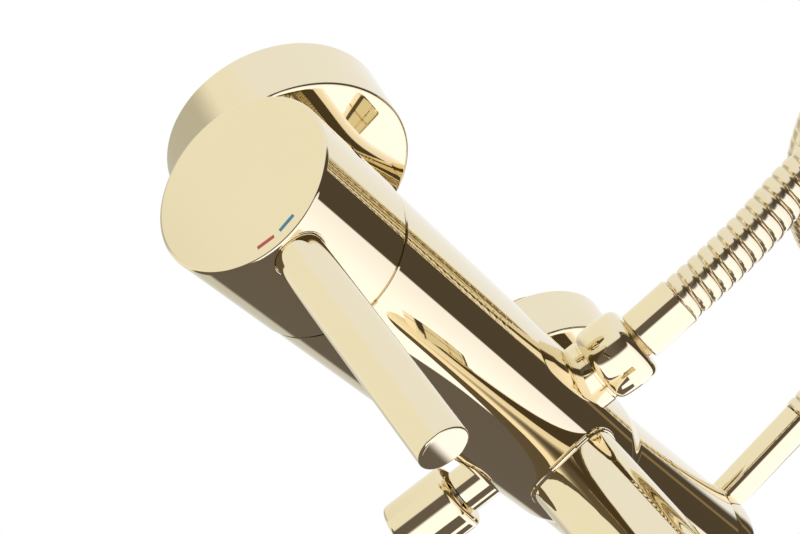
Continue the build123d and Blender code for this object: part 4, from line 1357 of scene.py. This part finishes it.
add_and_apply(strap, "SOLIDIFY", thickness=strap_thickness * mm, offset=-1)
strap_tail = block(
    "strap tail",
    strap_middle + Z * (strap_deep / 2 + 0.5) + Y * 2,
    (strap_width, strap_end_long, strap_end_thick),
)
joined(strap, strap_tail)
eased(strap, 0.3, segments=2, angle=40)
finished(strap, "woven tie", node="coil_tie")

# Floor: white, keeps the shadow, and lets the polished metal see the studio
nothing_selected()
bpy.ops.mesh.primitive_plane_add(size=12, location=(0, 0, floor_z * mm))
floor = bpy.context.object
floor.name = "floor"
floor_material, floor_tree, floor_shader = tree_of("pale floor")
floor_shader.inputs["Base Color"].default_value = (1.0, 1.0, 1.0, 1)
floor_shader.inputs["Roughness"].default_value = 1.0
floor_shader.inputs["Specular IOR Level"].default_value = 0.0
floor_path = floor_tree.nodes.new("ShaderNodeLightPath")
floor_clear = floor_tree.nodes.new("ShaderNodeBsdfTransparent")
floor_mix = floor_tree.nodes.new("ShaderNodeMixShader")
floor_tree.links.new(floor_path.outputs["Is Glossy Ray"], floor_mix.inputs["Fac"])
floor_tree.links.new(floor_shader.outputs["BSDF"], floor_mix.inputs[1])
floor_tree.links.new(floor_clear.outputs["BSDF"], floor_mix.inputs[2])
floor_tree.links.new(
    floor_mix.outputs["Shader"], floor_tree.nodes["Material Output"].inputs["Surface"]
)
floor.data.materials.append(floor_material)


# World: plain white, and for polished metal a studio with one long soft panel
def studio_world():
    """Builds the world. The studio's edges and tones are given by direction: aside,
    behind and above are its parts, rising its height as an angle seen from the side."""
    world = bpy.data.worlds.new("studio")
    bpy.context.scene.world = world
    world.use_nodes = True
    tree = world.node_tree
    plain = tree.nodes["Background"]
    plain.inputs["Color"].default_value = (1, 1, 1, 1)
    plain.inputs["Strength"].default_value = 1.0

    def figure(operation, first, second):
        node = tree.nodes.new("ShaderNodeMath")
        node.operation = operation
        for number, value in enumerate((first, second)):
            if isinstance(value, (int, float)):
                node.inputs[number].default_value = value
            else:
                tree.links.new(value, node.inputs[number])
        return node.outputs["Value"]

    def fade(value, low, high, start=0.0, end=1.0):
        """A soft step from start to end while the value goes from low to high."""
        node = tree.nodes.new("ShaderNodeMapRange")
        node.interpolation_type = "SMOOTHSTEP"
        node.inputs["From Min"].default_value = low
        node.inputs["From Max"].default_value = high
        node.inputs["To Min"].default_value = start
        node.inputs["To Max"].default_value = end
        tree.links.new(value, node.inputs["Value"])
        return node.outputs["Result"]

    def laid_over(under, over, mask):
        node = tree.nodes.new("ShaderNodeMix")
        node.data_type = "RGBA"
        for socket, colour in (("A", under), ("B", over)):
            if isinstance(colour, tuple):
                node.inputs[socket].default_value = (*colour, 1)
            else:
                tree.links.new(colour, node.inputs[socket])
        tree.links.new(mask, node.inputs["Factor"])
        return node.outputs["Result"]

    def scaled(colour, strength):
        node = tree.nodes.new("ShaderNodeVectorMath")
        node.operation = "SCALE"
        node.inputs[0].default_value = colour
        tree.links.new(strength, node.inputs["Scale"])
        return node.outputs["Vector"]

    place = tree.nodes.new("ShaderNodeTexCoord")
    parts = tree.nodes.new("ShaderNodeSeparateXYZ")
    tree.links.new(place.outputs["Generated"], parts.inputs["Vector"])
    aside = parts.outputs["X"]
    behind = parts.outputs["Y"]
    above = parts.outputs["Z"]
    ahead = figure("MULTIPLY", behind, -1.0)
    rising = figure("ARCTAN2", above, ahead)

    # The dark room in front of the object, a thin warm line low in it
    level = fade(above, -0.3, 0.1)
    dark_room = laid_over((0.085, 0.068, 0.05), (0.15, 0.13, 0.12), level)
    line_low = fade(rising, -1.84, -1.81)
    line_high = fade(rising, -1.75, -1.72, 1, 0)
    thin_line = figure("MULTIPLY", line_low, line_high)
    dark_room = laid_over(dark_room, (0.26, 0.19, 0.10), thin_line)

    # The panel: a straight foot, and an upper edge that rises at both ends
    over_foot = fade(rising, -1.03, -0.99)
    right_end = fade(aside, 0.74, 0.84, 1, 0)
    right_rise = fade(aside, -0.1, 0.35, 0, 0.42)
    left_rise = fade(aside, -0.99, -0.94, 0.2, 0)
    bump_left = fade(aside, -0.8, -0.74, 0, 0.14)
    bump_right = fade(aside, -0.6, -0.5, 1, 0)
    rise = figure("MAXIMUM", right_rise, left_rise)
    bump = figure("MULTIPLY", bump_left, bump_right)
    over_edge = figure("SUBTRACT", above, figure("MAXIMUM", rise, bump))
    under_edge = fade(over_edge, 0.112, 0.120, 1, 0)
    panel = figure("MULTIPLY", over_foot, under_edge)
    panel = figure("MULTIPLY", panel, right_end)
    brightness = fade(rising, -1.0, -0.2, 0.95, 1.12)
    panel_light = scaled((1.2, 1.22, 1.45), brightness)
    front = laid_over(dark_room, panel_light, panel)

    # The pale side by the wall, shaded at the upper left and high up on the wall
    toward_left = fade(aside, -0.6, -0.3, 0.35, 0)
    left_shade = figure("MULTIPLY", toward_left, fade(above, 0.1, 0.6))
    toward_wall = fade(behind, 0.6, 0.72, 0, 0.42)
    wall_shade = figure("MULTIPLY", toward_wall, fade(above, 0.2, 0.5))
    shade = figure("MAXIMUM", left_shade, wall_shade)
    pale = laid_over((0.97, 1.0, 1.1), (0.98, 0.98, 0.94), level)
    pale = laid_over(pale, (0.0, 0.0, 0.0), shade)
    edge_shift = fade(aside, 0.85, 1.0, 0.0, 0.3)
    near_wall = fade(figure("ADD", behind, edge_shift), 0.22, 0.32)
    seen = laid_over(front, pale, near_wall)

    studio = tree.nodes.new("ShaderNodeBackground")
    tree.links.new(seen, studio.inputs["Color"])
    path = tree.nodes.new("ShaderNodeLightPath")
    chosen = tree.nodes.new("ShaderNodeMixShader")
    tree.links.new(path.outputs["Is Glossy Ray"], chosen.inputs["Fac"])
    tree.links.new(plain.outputs["Background"], chosen.inputs[1])
    tree.links.new(studio.outputs["Background"], chosen.inputs[2])
    output = tree.nodes["World Output"]
    tree.links.new(chosen.outputs["Shader"], output.inputs["Surface"])


studio_world()
bpy.context.scene.view_settings.view_transform = "Standard"

nothing_selected()
